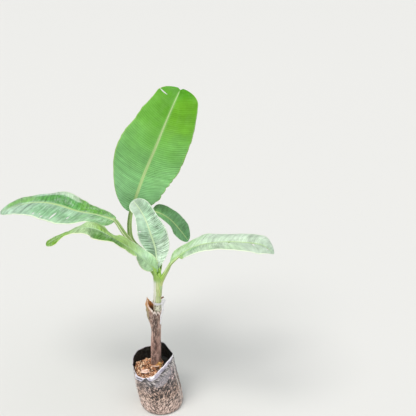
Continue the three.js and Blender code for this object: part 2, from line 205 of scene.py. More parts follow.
# ---------------------------------------------------------------- materials
class Nodes:
    """short hand for a procedural material"""

    def __init__(self, name):
        self.mat = bpy.data.materials.new(name)
        self.mat.use_nodes = True
        self.t = self.mat.node_tree
        self.t.nodes.clear()
        self.out = self.t.nodes.new("ShaderNodeOutputMaterial")
        self.bsdf = self.t.nodes.new("ShaderNodeBsdfPrincipled")
        self.t.links.new(self.bsdf.outputs[0], self.out.inputs[0])

    def node(self, kind, **kw):
        n = self.t.nodes.new("ShaderNode" + kind)
        for k, v in kw.items():
            setattr(n, k, v)
        return n

    def link(self, a, b):
        self.t.links.new(a, b)

    def put(self, socket, value):
        if hasattr(value, "is_output") or isinstance(value, bpy.types.NodeSocket):
            self.link(value, socket)
        else:
            socket.default_value = value

    def coord(self, which="Object"):
        if not hasattr(self, "_tc"):
            self._tc = self.node("TexCoord")
        return self._tc.outputs[which]

    def split(self, vec):
        n = self.node("SeparateXYZ")
        self.put(n.inputs[0], vec)
        return n.outputs

    def join(self, x, y, z):
        n = self.node("CombineXYZ")
        for s, v in zip(n.inputs, (x, y, z)):
            self.put(s, v)
        return n.outputs[0]

    def math(self, op, a, b=None, c=None, clamp=False):
        n = self.node("Math", operation=op, use_clamp=clamp)
        self.put(n.inputs[0], a)
        if b is not None:
            self.put(n.inputs[1], b)
        if c is not None:
            self.put(n.inputs[2], c)
        return n.outputs[0]

    def scale(self, vec, s):
        n = self.node("VectorMath", operation="MULTIPLY")
        self.put(n.inputs[0], vec)
        n.inputs[1].default_value = s if isinstance(s, (tuple, list)) else (s, s, s)
        return n.outputs[0]

    def noise(self, vec, scale=1.0, detail=3.0, rough=0.55, distort=0.0):
        n = self.node("TexNoise")
        self.put(n.inputs["Vector"], vec)
        n.inputs["Scale"].default_value = scale
        n.inputs["Detail"].default_value = detail
        n.inputs["Roughness"].default_value = rough
        n.inputs["Distortion"].default_value = distort
        return n.outputs["Fac"]

    def voronoi(self, vec, scale=1.0, feature="F1", out="Distance", rand=1.0):
        n = self.node("TexVoronoi", feature=feature)
        self.put(n.inputs["Vector"], vec)
        n.inputs["Scale"].default_value = scale
        n.inputs["Randomness"].default_value = rand
        return n.outputs[out]

    def ramp(self, fac, stops, ease="LINEAR"):
        n = self.node("ValToRGB")
        self.put(n.inputs[0], fac)
        r = n.color_ramp
        r.interpolation = ease
        while len(r.elements) < len(stops):
            r.elements.new(0.5)
        for e, (p, c) in zip(r.elements, stops):
            e.position = p
            e.color = (c, c, c, 1) if isinstance(c, (int, float)) else (*c[:3], 1)
        return n.outputs[0]

    def range(self, v, a, b, c=0.0, d=1.0, ease="SMOOTHSTEP"):
        n = self.node("MapRange", interpolation_type=ease)
        self.put(n.inputs[0], v)
        for i, x in enumerate((a, b, c, d)):
            n.inputs[i + 1].default_value = x
        return n.outputs[0]

    def mix(self, fac, a, b, blend="MIX"):
        n = self.node("Mix", data_type="RGBA", blend_type=blend)
        self.put(n.inputs[0], fac)
        for s, v in ((n.inputs[6], a), (n.inputs[7], b)):
            self.put(s, (*v[:3], 1) if isinstance(v, (tuple, list)) else v)
        return n.outputs[2]

    def bump(self, height, strength=0.3, distance=0.001, normal=None):
        n = self.node("Bump")
        n.inputs["Strength"].default_value = strength
        n.inputs["Distance"].default_value = distance
        self.put(n.inputs["Height"], height)
        if normal is not None:
            self.put(n.inputs["Normal"], normal)
        return n.outputs[0]

    def finish(self, color, rough=0.5, normal=None, spec=0.5, **kw):
        b = self.bsdf.inputs
        self.put(b["Base Color"], (*color[:3], 1) if isinstance(color, (tuple, list)) else color)
        self.put(b["Roughness"], rough)
        b["Specular IOR Level"].default_value = spec
        if normal is not None:
            self.link(normal, b["Normal"])
        for k, v in kw.items():
            b[k].default_value = v
        return self.mat


def leaf_top(name, cols, veins, margin=(0.66, 0.76, 0.46), bloom=0.3, bloom_col=(0.50, 0.66, 0.50), rough=0.46, seed=0.0, centre=(0.42, 0.62, 0.28), contrast=1.0, zones=(), edge_at=0.962, spec=0.4, lines=0.0, calm=None, tip_margin=None, still=None):
    """Upper face of a blade. U runs from foot to tip along the side veins' rows, V across; cols are spread from foot to tip."""
    m = Nodes(name)
    u, v, _ = m.split(m.coord("UV"))
    obj = m.coord("Object")
    q = m.math("ABSOLUTE", m.math("SUBTRACT", m.math("MULTIPLY", v, 2.0), 1.0))
    wander = m.noise(m.join(m.math("MULTIPLY", u, 9.0), m.math("MULTIPLY", v, 3.0), seed), 1.0, 2.0)
    uu = m.math("ADD", u, m.math("MULTIPLY", wander, 0.010))
    ph = m.math("MULTIPLY", uu, veins * 2 * math.pi)
    s1 = m.math("ADD", m.math("MULTIPLY", m.math("SINE", ph), 0.5), 0.5)
    coarse = m.noise(m.join(m.math("MULTIPLY", uu, veins * 0.62), m.math("MULTIPLY", v, 1.6), seed + 3), 1.0, 2.0, 0.6)
    fine = m.noise(m.join(m.math("MULTIPLY", uu, veins * 3.6), m.math("MULTIPLY", v, 5.0), seed + 7), 1.0, 1.0, 0.5)
    blotch = m.noise(obj, 24.0, 3.0, 0.6)
    run = m.math("ADD", u, m.math("MULTIPLY", m.math("SUBTRACT", wander, 0.5), 0.16))
    base = m.ramp(run, [(k / (len(cols) - 1), c) for k, c in enumerate(cols)])
    # each zone paints a given colour over a patch of the blade: some are the leaf's own tint, some are painted shade
    # where part of a blade faces away from the light, some are painted light where it faces the sky
    for u0, u1, v0, v1, col, amount in zones:
        jig = m.math("MULTIPLY", m.math("SUBTRACT", blotch, 0.5), 0.12)
        uz, vz = m.math("ADD", u, jig), m.math("ADD", v, jig)
        mask = m.math("MULTIPLY", m.range(uz, u0 - 0.045, u0 + 0.045), m.range(uz, u1 - 0.045, u1 + 0.045, 1.0, 0.0))
        mask = m.math("MULTIPLY", mask, m.math("MULTIPLY", m.range(vz, v0 - 0.035, v0 + 0.035), m.range(vz, v1 - 0.035, v1 + 0.035, 1.0, 0.0)))
        base = m.mix(m.math("MULTIPLY", mask, amount), base, col)
    waxy = m.noise(m.join(m.math("MULTIPLY", u, 7.0), m.math("MULTIPLY", v, 3.4), seed + 11), 1.0, 4.0, 0.62)
    base = m.mix(m.range(waxy, 0.44, 0.64, 0.0, bloom), base, bloom_col)
    # side veins and lanes between them, lighter and darker by turns, calmer towards the tip of some blades
    f = m.math("MULTIPLY", m.math("SUBTRACT", s1, 0.5), 0.20 * contrast)
    f = m.math("ADD", f, m.math("MULTIPLY", m.math("SUBTRACT", coarse, 0.5), 0.95 * contrast))
    f = m.math("ADD", f, m.math("MULTIPLY", m.math("SUBTRACT", fine, 0.5), 0.42 * contrast))
    if calm:
        f = m.math("MULTIPLY", f, m.range(m.math("SUBTRACT", u, m.math("MULTIPLY", q, 0.12)), *calm))
    if still:
        f = m.math("MULTIPLY", f, m.range(v, *still))
    f = m.math("ADD", m.math("ADD", f, 1.0), m.math("MULTIPLY", m.math("SUBTRACT", blotch, 0.5), 0.75 * contrast))
    base = m.mix(1.0, base, m.math("MAXIMUM", f, 0.3), "MULTIPLY")
    if lines:
        # painted shade in thin creases and painted highlights on the ridges along the side veins
        for k, (dens, wide, col) in enumerate(((0.85, 0.022, None), (1.2, 0.020, bloom_col))):
            c = m.noise(m.join(m.math("MULTIPLY", uu, veins * dens), m.math("MULTIPLY", v, 2.6), seed + 21 + 5 * k), 1.0, 1.0, 0.5)
            c = m.range(m.math("ABSOLUTE", m.math("SUBTRACT", c, 0.5 + 0.03 * k)), 0.0, wide, lines, 0.0)
            c = m.math("MULTIPLY", c, m.range(waxy, 0.36, 0.52, 0.35, 1.0))
            if calm:
                c = m.math("MULTIPLY", c, m.range(u, *calm))
            if still:
                c = m.math("MULTIPLY", c, m.range(v, *still))
            if col is None:
                base = m.mix(c, base, m.mix(1.0, base, (0.30, 0.38, 0.22), "MULTIPLY"))
            else:
                base = m.mix(m.math("MULTIPLY", c, 0.7), base, tuple(min(1, a * 1.15 + 0.04) for a in col))
    # paler beside the midrib, a thin pale line at the margin
    base = m.mix(m.range(q, 0.0, 0.10, 0.55, 0.0), base, centre)
    edge = m.math("ADD", q, m.math("MULTIPLY", m.math("SUBTRACT", fine, 0.5), 0.02))
    if tip_margin:
        margin = m.mix(m.range(u, 0.84, 0.93), margin, tip_margin)
    base = m.mix(m.range(edge, edge_at - 0.022, edge_at + 0.012, 0.0, 0.9), base, margin)
    # a few dry specks
    speck = m.voronoi(obj, 46.0)
    base = m.mix(m.range(speck, 0.035, 0.07, 0.6, 0.0), base, (0.12, 0.08, 0.03))
    h = m.math("ADD", m.math("MULTIPLY", s1, 0.6), m.math("MULTIPLY", fine, 0.45))
    n1 = m.bump(h, 0.5, 0.0008)
    n2 = m.bump(m.noise(obj, 260.0, 2.0), 0.10, 0.0004, n1)
    r = m.math("ADD", m.math("MULTIPLY", coarse, 0.16), rough - 0.08)
    return m.finish(base, r, n2, spec)


def leaf_under(name, col, veins, seed=0.0, centre=(0.42, 0.52, 0.25)):
    """Under face: paler, duller, with the side veins raised."""
    m = Nodes(name)
    u, v, _ = m.split(m.coord("UV"))
    obj = m.coord("Object")
    q = m.math("ABSOLUTE", m.math("SUBTRACT", m.math("MULTIPLY", v, 2.0), 1.0))
    ph = m.math("MULTIPLY", u, veins * 2 * math.pi)
    s1 = m.math("ADD", m.math("MULTIPLY", m.math("SINE", ph), 0.5), 0.5)
    coarse = m.noise(m.join(m.math("MULTIPLY", u, veins * 0.4), m.math("MULTIPLY", v, 1.6), seed + 5), 1.0, 2.0)
    blotch = m.noise(obj, 18.0, 3.0)
    base = m.mix(m.range(blotch, 0.3, 0.75), col, tuple(min(1, c * 1.25 + 0.02) for c in col))
    base = m.mix(m.math("MULTIPLY", s1, 0.28), base, tuple(c * 0.55 for c in col))
    base = m.mix(m.range(coarse, 0.45, 0.8, 0.0, 0.35), base, tuple(min(1, c * 1.3 + 0.05) for c in col))
    base = m.mix(m.range(q, 0.0, 0.12, 0.6, 0.0), base, centre)
    base = m.mix(m.range(q, 0.96, 0.99, 0.0, 0.8), base, (0.45, 0.5, 0.18))
    n1 = m.bump(s1, 0.6, 0.0007)
    return m.finish(base, 0.62, n1, 0.35)


def stalk_mat(name, low, high, groove, z0, z1, seed=0.0, groove_shade=0.55, lips=(0.72, 0.80, 0.50)):
    """Stalk and midrib: V runs round the section, lips at 0 and 0.5, keel at 0.25, groove at 0.75; U along."""
    m = Nodes(name)
    u, v, _ = m.split(m.coord("UV"))
    obj = m.coord("Object")
    x, y, z = m.split(obj)
    lines = m.noise(m.join(m.math("MULTIPLY", u, 7.0), m.math("MULTIPLY", v, 46.0), seed), 1.0, 2.0)
    bands = m.noise(m.join(m.math("MULTIPLY", u, 5.0), m.math("MULTIPLY", v, 15.0), seed + 4), 1.0, 2.0)
    mott = m.noise(obj, 60.0, 4.0, 0.6)
    base = m.mix(m.range(z, z0, z1), low, high)
    base = m.mix(m.range(bands, 0.42, 0.60, 0.0, 0.75), base, tuple(c * f for c, f in zip(high, (0.50, 0.66, 0.36))))
    base = m.mix(m.range(lines, 0.42, 0.66, 0.0, 0.45), base, tuple(min(1, c * 1.25 + 0.05) for c in high))
    base = m.mix(m.range(mott, 0.52, 0.76, 0.0, 0.35), base, tuple(c * 0.55 for c in high))
    keel = m.math("ABSOLUTE", m.math("SUBTRACT", v, 0.25))
    base = m.mix(m.range(keel, 0.0, 0.07, 0.6, 0.0), base, (0.56, 0.64, 0.24))
    for lip in (0.0, 0.5, 1.0):
        e = m.math("ABSOLUTE", m.math("SUBTRACT", v, lip))
        base = m.mix(m.range(e, 0.012, 0.05, 0.85, 0.0), base, lips)
    g = m.math("ABSOLUTE", m.math("SUBTRACT", v, 0.75))
    base = m.mix(m.range(g, 0.0, 0.12, 0.75, 0.0), base, groove)
    # painted shade: a thin dark line down the bottom of the groove
    base = m.mix(m.range(g, 0.0, 0.03, groove_shade, 0.0), base, tuple(c * 0.5 for c in groove))
    # round the stem: papery pale margin at the left front, a yellow-green lane, bright young green at the top
    front = m.range(y, 0.001, 0.006, 1.0, 0.0)
    deep = m.range(y, 0.034, 0.044, 1.0, 0.0)
    low_part = m.math("MULTIPLY", front, m.range(z, 0.500, 0.520, 1.0, 0.0))
    edge = m.range(m.math("ADD", x, m.math("MULTIPLY", m.math("SUBTRACT", mott, 0.5), 0.006)), -0.0095, -0.0070, 1.0, 0.0)
    base = m.mix(m.math("MULTIPLY", m.math("MULTIPLY", low_part, edge), 0.85), base, (0.80, 0.84, 0.80))
    lane = m.range(m.math("ABSOLUTE", m.math("SUBTRACT", x, 0.003)), 0.0012, 0.0034, 1.0, 0.0)
    base = m.mix(m.math("MULTIPLY", m.math("MULTIPLY", low_part, lane), 0.55), base, (0.50, 0.66, 0.20))
    top = m.math("MULTIPLY", m.math("MULTIPLY", deep, m.range(z, 0.500, 0.522)), m.range(z, 0.560, 0.580, 1.0, 0.0))
    top = m.math("MULTIPLY", top, m.range(m.math("ABSOLUTE", m.math("ADD", x, 0.009)), 0.024, 0.033, 1.0, 0.0))
    # paler where the stalks' bases wrap the stem
    wrap = m.range(z, 0.500, 0.520, 1.0, 0.0)
    base = m.mix(wrap, base, m.mix(1.0, base, (1.22, 1.14, 1.05), "MULTIPLY"))
    base = m.mix(m.math("MULTIPLY", top, 0.8), base, (0.36, 0.60, 0.08))
    n1 = m.bump(lines, 0.35, 0.0008)
    n2 = m.bump(mott, 0.12, 0.0006, n1)
    return m.finish(base, m.range(mott, 0.3, 0.8, 0.38, 0.54), n2, 0.45)


# ---------------------------------------------------------------- sizes
BAG_LEAN = -0.158
BAG_FOOT_R, BAG_R, BAG_RIM_R = 66.0, 79.5, 74.5
RIM_Z = [209.5, 203, 217, 199, 195, 190.5, 181, 158.5, 157.5, 168, 198, 212]
SOIL_Z = [132, 128, 134, 145, 147, 154, 160, 149, 144, 150, 146, 140]
SEAT = (-18.7, 0.0, 176.0, 25.0)
STEM = np.array([
    # x, y, z, r
    [-18.7, 0, 164.0, 20.5],
    [-18.6, 0, 176.0, 19.2],
    [-17.6, 0, 215.0, 18.6],
    [-16.0, 0, 268.0, 18.0],
    [-11.5, 0, 340.0, 16.6],
    [-6.5, 0, 420.0, 14.8],
    [-3.0, 0, 469.0, 13.6],
    [-1.2, 0.5, 500.0, 14.0],
    [-0.3, 1.0, 520.0, 13.0],
    [0.0, 1.5, 536.0, 6.0],
])


def stem_at(z):
    """centre and radius of the stem at height z, in millimetres"""
    z = np.asarray(z, float)
    return tuple(np.interp(z, STEM[:, 2], STEM[:, k]) for k in (0, 1, 3))


LEAVES = {
    "leaf_right": dict(
        az=-10, foot=(0.2, 0.18), start=(0.10, 0.0), tip=0.12, cR=-35, cL=-20,
        path=[[42, -11, 576], [93, -15, 620], [141, -30, 650], [196, -41, 665], [266, -53, 672], [342, -57, 664], [383, -69, 638]],
        wR=[54, 70, 81, 84, 77, 69, 49], wL=[68, 71, 80, 84, 79, 69, 57],
        fR=[18, 14, 20, 21, 18, 16, 24], fL=[36, 15, 14, 11, 11, 11, 14], roll=[-4, 1, 1, 5, 2, 0, 5],
        stalk=[[-1.5, 0, 488], [6, -1.5, 506], [19, -4, 530], [31, -7, 553]], rs=[15.0, 12.4, 9.9, 9.0], foot_r=8.0, az0=-10, rib=[4.8, 4.6, 4.2, 3.6, 2.8, 1.9, 1.0],
        ruffle=3.8, wave=46, crumple=1.0, pleat=0.24, ridge=0.25, nodes=["leaf_right_stalk", "leaf_right_inner", "leaf_right_outer"]),
    "leaf_middle": dict(
        az=110, foot=0.5, tip=0.12, cR=-15, cL=-15,
        path=[[-2, 2, 547], [-7, 26, 577], [-13, 42, 614], [-28, 49, 663], [-42, 65, 698], [-60, 80, 730], [-86, 90, 765]],
        wR=[22, 46, 55, 57, 46, 40, 32], wL=[16, 31, 42, 47, 39, 31, 36],
        fR=[29, 22, 16, 13, 11, 11, 12], fL=[31, 26, 21, 17, 17, 16, 13], roll=[-1, -2, -2, -1, -2, -2, 0],
        stalk=[[-1.5, 0, 488], [1.0, -3.0, 521]], rs=[14.8, 11.6], foot_r=9.6, az0=100, rib=[4.6, 4.4, 4.0, 3.4, 2.6, 1.8, 1.0],
        ruffle=3.2, wave=38, crumple=2.4, pleat=0.40, ridge=1.5, calm=0.5, flat=(0.46, 0.66), nodes=["leaf_middle_stalk", "leaf_middle_blade"]),
    "leaf_left_front": dict(
        az=190, foot=(0.162, 0.145), start=(0.0, 0.055), tip=0.12, cR=-25, cL=-35,
        path=[[-2, -8, 541], [-34, -23, 585], [-80, -28, 632], [-111, -46, 664], [-148, -53, 693], [-196, -58, 722], [-243, -68, 726], [-294, -72, 706], [-349, -79, 674]],
        wR=[26, 43, 52, 67, 67, 61, 49, 39, 32], wL=[38, 50, 61, 67, 68, 66, 49, 37, 30],
        fR=[71, 51, 30, 16, 13, 12, 7, 7, 13], fL=[-4, -5, 16, 16, 16, 8, 14, 15, 4], roll=[1, -4, -7, -8, -9, 0, -8, -9, 4],
        stalk=[[-1.5, 0, 488], [-2.5, -3, 516]], rs=[15.4, 15.0], foot_r=14.0, az0=195, rib=[4.8, 4.8, 4.4, 4.0, 3.6, 3.0, 2.3, 1.6, 0.9],
        ruffle=3.8, wave=34, crumple=1.3, pleat=0.26, ridge=0.3, nodes=["leaf_left_front_stalk", "leaf_left_front_inner", "leaf_left_front_bend", "leaf_left_front_outer"]),
    "leaf_left_back": dict(
        az=155, foot=0.15, tip=0.2, cR=-15, cL=-30,
        path=[[-150, 81, 697], [-218, 99, 709], [-284, 112, 717], [-355, 128, 734], [-423, 140, 739], [-496, 151, 724], [-568, 157, 698]],
        wR=[55, 76, 88, 95, 91, 79, 65], wL=[67, 76, 87, 93, 89, 74, 54],
        fR=[4, 12, 13, 17, 17, 22, 30], fL=[-7, 4, -2, -4, -2, 0, 3], roll=[-8, -13, -7, -3, -5, -4, 1],
        stalk=[[-1.5, 0.5, 488], [-8, 6, 522], [-36, 30, 552], [-80, 54, 604], [-119, 71, 652]], rs=[15.0, 10.6, 9.6, 9.4, 9.2], foot_r=8.2, az0=150, rib=[5.0, 4.8, 4.2, 3.5, 2.7, 1.8, 1.0],
        ruffle=4.4, wave=60, crumple=1.1, pleat=0.24, ridge=0.25, nodes=["leaf_left_back_stalk", "leaf_left_back_inner", "leaf_left_back_outer"]),
    "leaf_tall": dict(
        az=80, foot=0.2, tip=0.1, cR=-12, cL=-12,
        path=[[-100, 124, 709], [-72, 127, 786], [-46, 144, 850], [-13, 154, 924], [20, 170, 1001], [52, 186, 1072], [78, 212, 1124]],
        wR=[48, 84, 104, 113, 109, 97, 76], wL=[68, 91, 121, 124, 105, 82, 77],
        fR=[2, 13, 16, 13, 11, 13, 20], fL=[17, 13, 13, 11, 8, 6, 12], roll=[-12, 1, 2, 1, 2, 5, 6],
        stalk=[[-1.5, 1, 488], [-3, 9, 524], [-40, 52, 572], [-94, 84, 615], [-105, 104, 660]], rs=[14.4, 10.0, 9.4, 9.0, 8.6], foot_r=7.4, az0=122, rib=[3.8, 5.6, 5.8, 5.0, 3.6, 2.2, 1.0],
        notch=6.0, scallop=(1, 0.03, 0.52, 31.0, 5.4), calm=0.42,
        ruffle=3.2, wave=42, crumple=0.55, pleat=0.30, ridge=0.15, nodes=["leaf_tall_stalk", "leaf_tall_inner", "leaf_tall_outer"]),
    "leaf_rear": dict(
        az=20, foot=(0.22, 0.12), tip=0.2, cR=-12, cL=-15,
        path=[[-22, 103, 721], [9, 111, 706], [37, 119, 682], [57, 127, 656], [76, 135, 627], [99, 140, 592]],
        wR=[17, 26, 32, 36, 33, 26], wL=[31, 38, 42, 45, 45, 36],
        fR=[17, 18, 16, 13, 14, 16], fL=[14, 17, 17, 17, 18, 16], roll=[-31, -36, -40, -45, -45, -41],
        stalk=[[-1.5, 0.5, 488], [-2, 8, 524], [4, 37, 560], [-10, 72, 640], [-22, 93, 696]], rs=[15.0, 9.6, 7.4, 6.2, 4.6], foot_r=4.0, az0=80, rib=[3.4, 3.4, 3.0, 2.4, 1.8, 1.0],
        ruffle=2.6, wave=40, crumple=0.9, pleat=0.26, ridge=0.4, nodes=["leaf_rear_stalk", "leaf_rear_inner", "leaf_rear_outer"]),
}
VEIN = 6.6      # spacing of the side veins' ridges, mm
ROWS = 5        # rows of the mesh to each ridge
# short slits along the side veins: side, place along, from and to across, gap in mm
SLITS = {
    "leaf_right": [(-1, 0.33, 0.28, 0.52, 2.6), (1, 0.47, 0.10, 0.34, 2.2), (1, 0.60, 0.05, 0.36, 3.4), (-1, 0.80, 0.62, 0.90, 2.4), (1, 0.76, -0.02, 0.44, 4.6), (1, 0.90, 0.05, 0.42, 3.2)],
    "leaf_left_back": [(-1, 0.33, 0.55, 0.72, 2.8), (-1, 0.44, 0.50, 0.86, 4.2), (-1, 0.52, 0.80, 0.93, 3.0), (-1, 0.60, 0.78, 0.92, 2.8), (-1, 0.55, 0.72, 0.80, 2.2)],
    "leaf_tall": [(-1, 0.885, 0.46, 0.985, 3.4)],
    "leaf_left_front": [(1, 0.815, 0.25, 0.55, 3.4)],
    "leaf_middle": [(-1, 0.52, 0.70, 0.86, 3.0)],
}


def leaf_frame(L, u):
    e = 1e-3
    M = along(L["path"], u)
    T = unit(along(L["path"], np.minimum(u + e, 1)) - along(L["path"], np.maximum(u - e, 0)))
    az = math.radians(L["az"])
    B0 = np.array([math.sin(az), -math.cos(az), 0.0]) * np.ones_like(M)
    B0 = unit(B0 - (T * B0).sum(-1, keepdims=True) * T)
    N0 = np.cross(B0, T)
    ro = np.radians(along(L["roll"], u))[..., None]
    return M, T, B0 * np.cos(ro) + N0 * np.sin(ro), -B0 * np.sin(ro) + N0 * np.cos(ro)


def both(value):
    """the right side's and the left side's number"""
    return value if isinstance(value, tuple) else (value, value)


def leaf_ends(L, u, v):
    """how far the blade's rounded ends narrow it, 0 to 1"""
    foot, begin = both(L["foot"]), both(L.get("start", 0.0))
    ft = np.where(v < 0, foot[1], foot[0])
    w = u - np.where(v < 0, begin[1], begin[0])
    a = np.where(w < ft, np.sqrt(np.maximum(1 - (1 - np.clip(w, 0, None) / ft) ** 2, 0)), 1.0)
    k = u > 1 - L["tip"]
    return np.where(k, np.sqrt(np.maximum(1 - ((u - 1 + L["tip"]) / L["tip"]) ** 2, 0)), a)


def arc_length(L):
    p = along(L["path"], np.linspace(0, 1, 200))
    return float(np.linalg.norm(np.diff(p, axis=0), axis=1).sum())


def blade(name, L, mats, replaces, seed):
    start = min(both(L.get("start", 0.0)))
    length = arc_length(L)
    rows_mid = int(length * (1 - start) / (VEIN / ROWS))
    K = 16
    step = np.ones(rows_mid + 2 * K)
    ramp = np.linspace(0.08, 1, K + 1)[:-1]
    step[:K] = ramp
    step[-K:] = ramp[::-1]
    t = np.r_[0, np.cumsum(step)]
    t = start + (1 - start) * t / t[-1]
    R = len(t)
    half = 26
    q = np.linspace(0, 1, half + 1)
    q = np.r_[q[:-1] ** 0.95, 1]
    v = np.r_[-q[::-1], q[1:]]
    Cn = len(v)
    U, V = np.meshgrid(t, v, indexing="ij")
    Q = np.abs(V)
    side = np.where(V < 0, -1.0, 1.0)
    # side veins leave the midrib steeply and sweep towards the tip near the margin
    env = smooth(start, start + 0.12, U) * smooth(0, 0.14, 1 - U)
    wmid = float(np.mean(L["wR"]) + np.mean(L["wL"])) / 2
    U2 = np.clip(U + (0.30 * wmid / length) * Q ** 1.7 * env, 0, 1)
    M, T, B, N = leaf_frame(L, U2)
    w = np.where(V < 0, along(L["wL"], U2), along(L["wR"], U2)) * leaf_ends(L, U2, V)
    s_mm = U2 * length
    sd = np.where(V < 0, 50.0, 0.0) + seed * 13.7
    # margin drawn in and out a little
    w = w * (1 + 0.012 * vnoise(s_mm / 13.0, sd) + 0.016 * vnoise(s_mm / 31.0, sd + 5))
    if "scallop" in L:
        sc, ua, ub, period, depth = L["scallop"]
        bite = np.abs(np.sin(math.pi * s_mm / period + 1.6 * vnoise(s_mm / 34.0, sd + 2))) ** 0.6
        deep = 0.75 + 0.45 * vnoise(s_mm / 40.0, sd + 21)
        w = w - np.where(V * sc > 0, depth * deep * (1 - bite) * Q ** 3, 0) * smooth(ua, ua + 0.06, U2) * (1 - smooth(ub - 0.06, ub, U2))
    w = np.where(U < 0.5, np.maximum(w, 0.8 * smooth(start, start + 0.01, U)), w)
    fo = np.radians(np.where(V < 0, along(L["fL"], U2), along(L["fR"], U2)))
    cu = np.radians(np.where(V < 0, L["cL"], L["cR"]))
    x = w * (np.sin(fo + cu * Q) - np.sin(fo)) / cu
    z = -w * (np.cos(fo + cu * Q) - np.cos(fo)) / cu
    phi = fo + cu * Q
    P = M + (side * x)[..., None] * B + z[..., None] * N
    if "notch" in L:
        P = P - (L["notch"] * np.exp(-(x / 7.0) ** 2) * smooth(1 - L["tip"], 1, U2))[..., None] * T
    n = -(side * np.sin(phi))[..., None] * B + np.cos(phi)[..., None] * N
    row = np.arange(R)[:, None] * np.ones((1, Cn))
    wfade = smooth(0, 14, w)
    # fine ridges of the side veins
    lane = row * (VEIN / ROWS)
    calm = 1 - 0.7 * smooth(L.get("calm", 2.0), L.get("calm", 2.0) + 0.2, U)
    amp = L["pleat"] * (0.8 + 0.5 * vnoise(lane / 12.0, sd, V * 3)) * smooth(0.03, 0.14, Q) * (1 - 0.6 * smooth(0.9, 1, Q)) * wfade * calm
    d = amp * np.sin(lane * 2 * math.pi / VEIN + 1.3 * vnoise(lane / 22.0, sd + 4, V * 1.2))
    # broader pleats and crumples that follow the veins, fading towards the tip of some blades
    even = 1 - 0.75 * smooth(*L["flat"], U) if "flat" in L else 1.0
    patchy = 0.45 + 0.55 * smooth(-0.3, 0.5, vnoise(lane / 60.0, sd + 31, V * 1.5, 8))
    d = d + L["crumple"] * smooth(0.06, 0.35, Q) * wfade * (0.7 * vnoise(lane / 9.0, sd, V * 1.6, 3) + 0.4 * vnoise(lane / 4.8, sd + 9, V * 3.0, 4)) * patchy * even
    # sharp creases
    cr = 1 - 2 * np.abs(vnoise(lane / 7.5 + 0.9 * V, sd + 17, V * 1.3, 12)) ** 0.6
    d = d + even * L["ridge"] * smooth(0.05, 0.25, Q) * (1 - 0.5 * smooth(0.85, 1, Q)) * wfade * cr * (0.5 + 0.8 * smooth(-0.4, 0.5, vnoise(lane / 40.0, sd + 37, V * 2.0, 13)))
    # the margin's slow waves
    d = d + L["ruffle"] * Q ** 2.4 * wfade * (vnoise(s_mm / L["wave"], sd + 3, 0, 6) + 0.45 * vnoise(s_mm / (L["wave"] * 0.42), sd + 8, 0, 7))
    # slight slow unevenness all over
    d = d + 1.3 * wfade * smooth(0, 0.5, Q) * vnoise(s_mm / 60.0, V * 1.4 + sd, 0, 9)
    P = P + d[..., None] * n
    faces = grid_faces(R, Cn)
    keep = np.ones(len(faces), bool)
    for s, u0, a, b, gap in SLITS.get(name, []):
        r0 = int(np.argmin(np.abs(t - u0)))
        m = np.clip((v * s - a) / (b - a), 0, 1)
        lens = np.where((v * s > a) & (v * s < b), np.sin(math.pi * m) ** 0.8, 0.0)
        for dr, g in ((0, -1.0), (1, 1.0), (-1, -0.8), (2, 0.8), (-2, -0.55), (3, 0.55), (-3, -0.3), (4, 0.3), (-4, -0.12), (5, 0.12)):
            r = r0 + dr
            if 0 <= r < R:
                P[r] += (lens * g * gap / 2)[:, None] * T[r] + (lens * (0.35 if abs(g) == 1 else 0.1) * gap * (1 if g > 0 else -1) * 0.5)[:, None] * n[r]
        c = np.nonzero(lens > 0)[0]
        for k in range(c[0] - 1, c[-1] + 1):
            keep[r0 * (Cn - 1) + k] = False
    faces = faces[keep]
    uv = np.stack([U, (V + 1) / 2], -1).reshape(-1, 2)
    verts = P.reshape(-1, 3) * MM
    # the end rows shrink to a point
    ob = build(name, verts, faces, mats, uv=uv, replaces=replaces)
    sol = ob.modifiers.new("thick", "SOLIDIFY")
    sol.thickness = 0.0005
    sol.offset = 0.0
    sol.use_rim = True
    sol.material_offset = 1
    sol.material_offset_rim = 0
    return ob


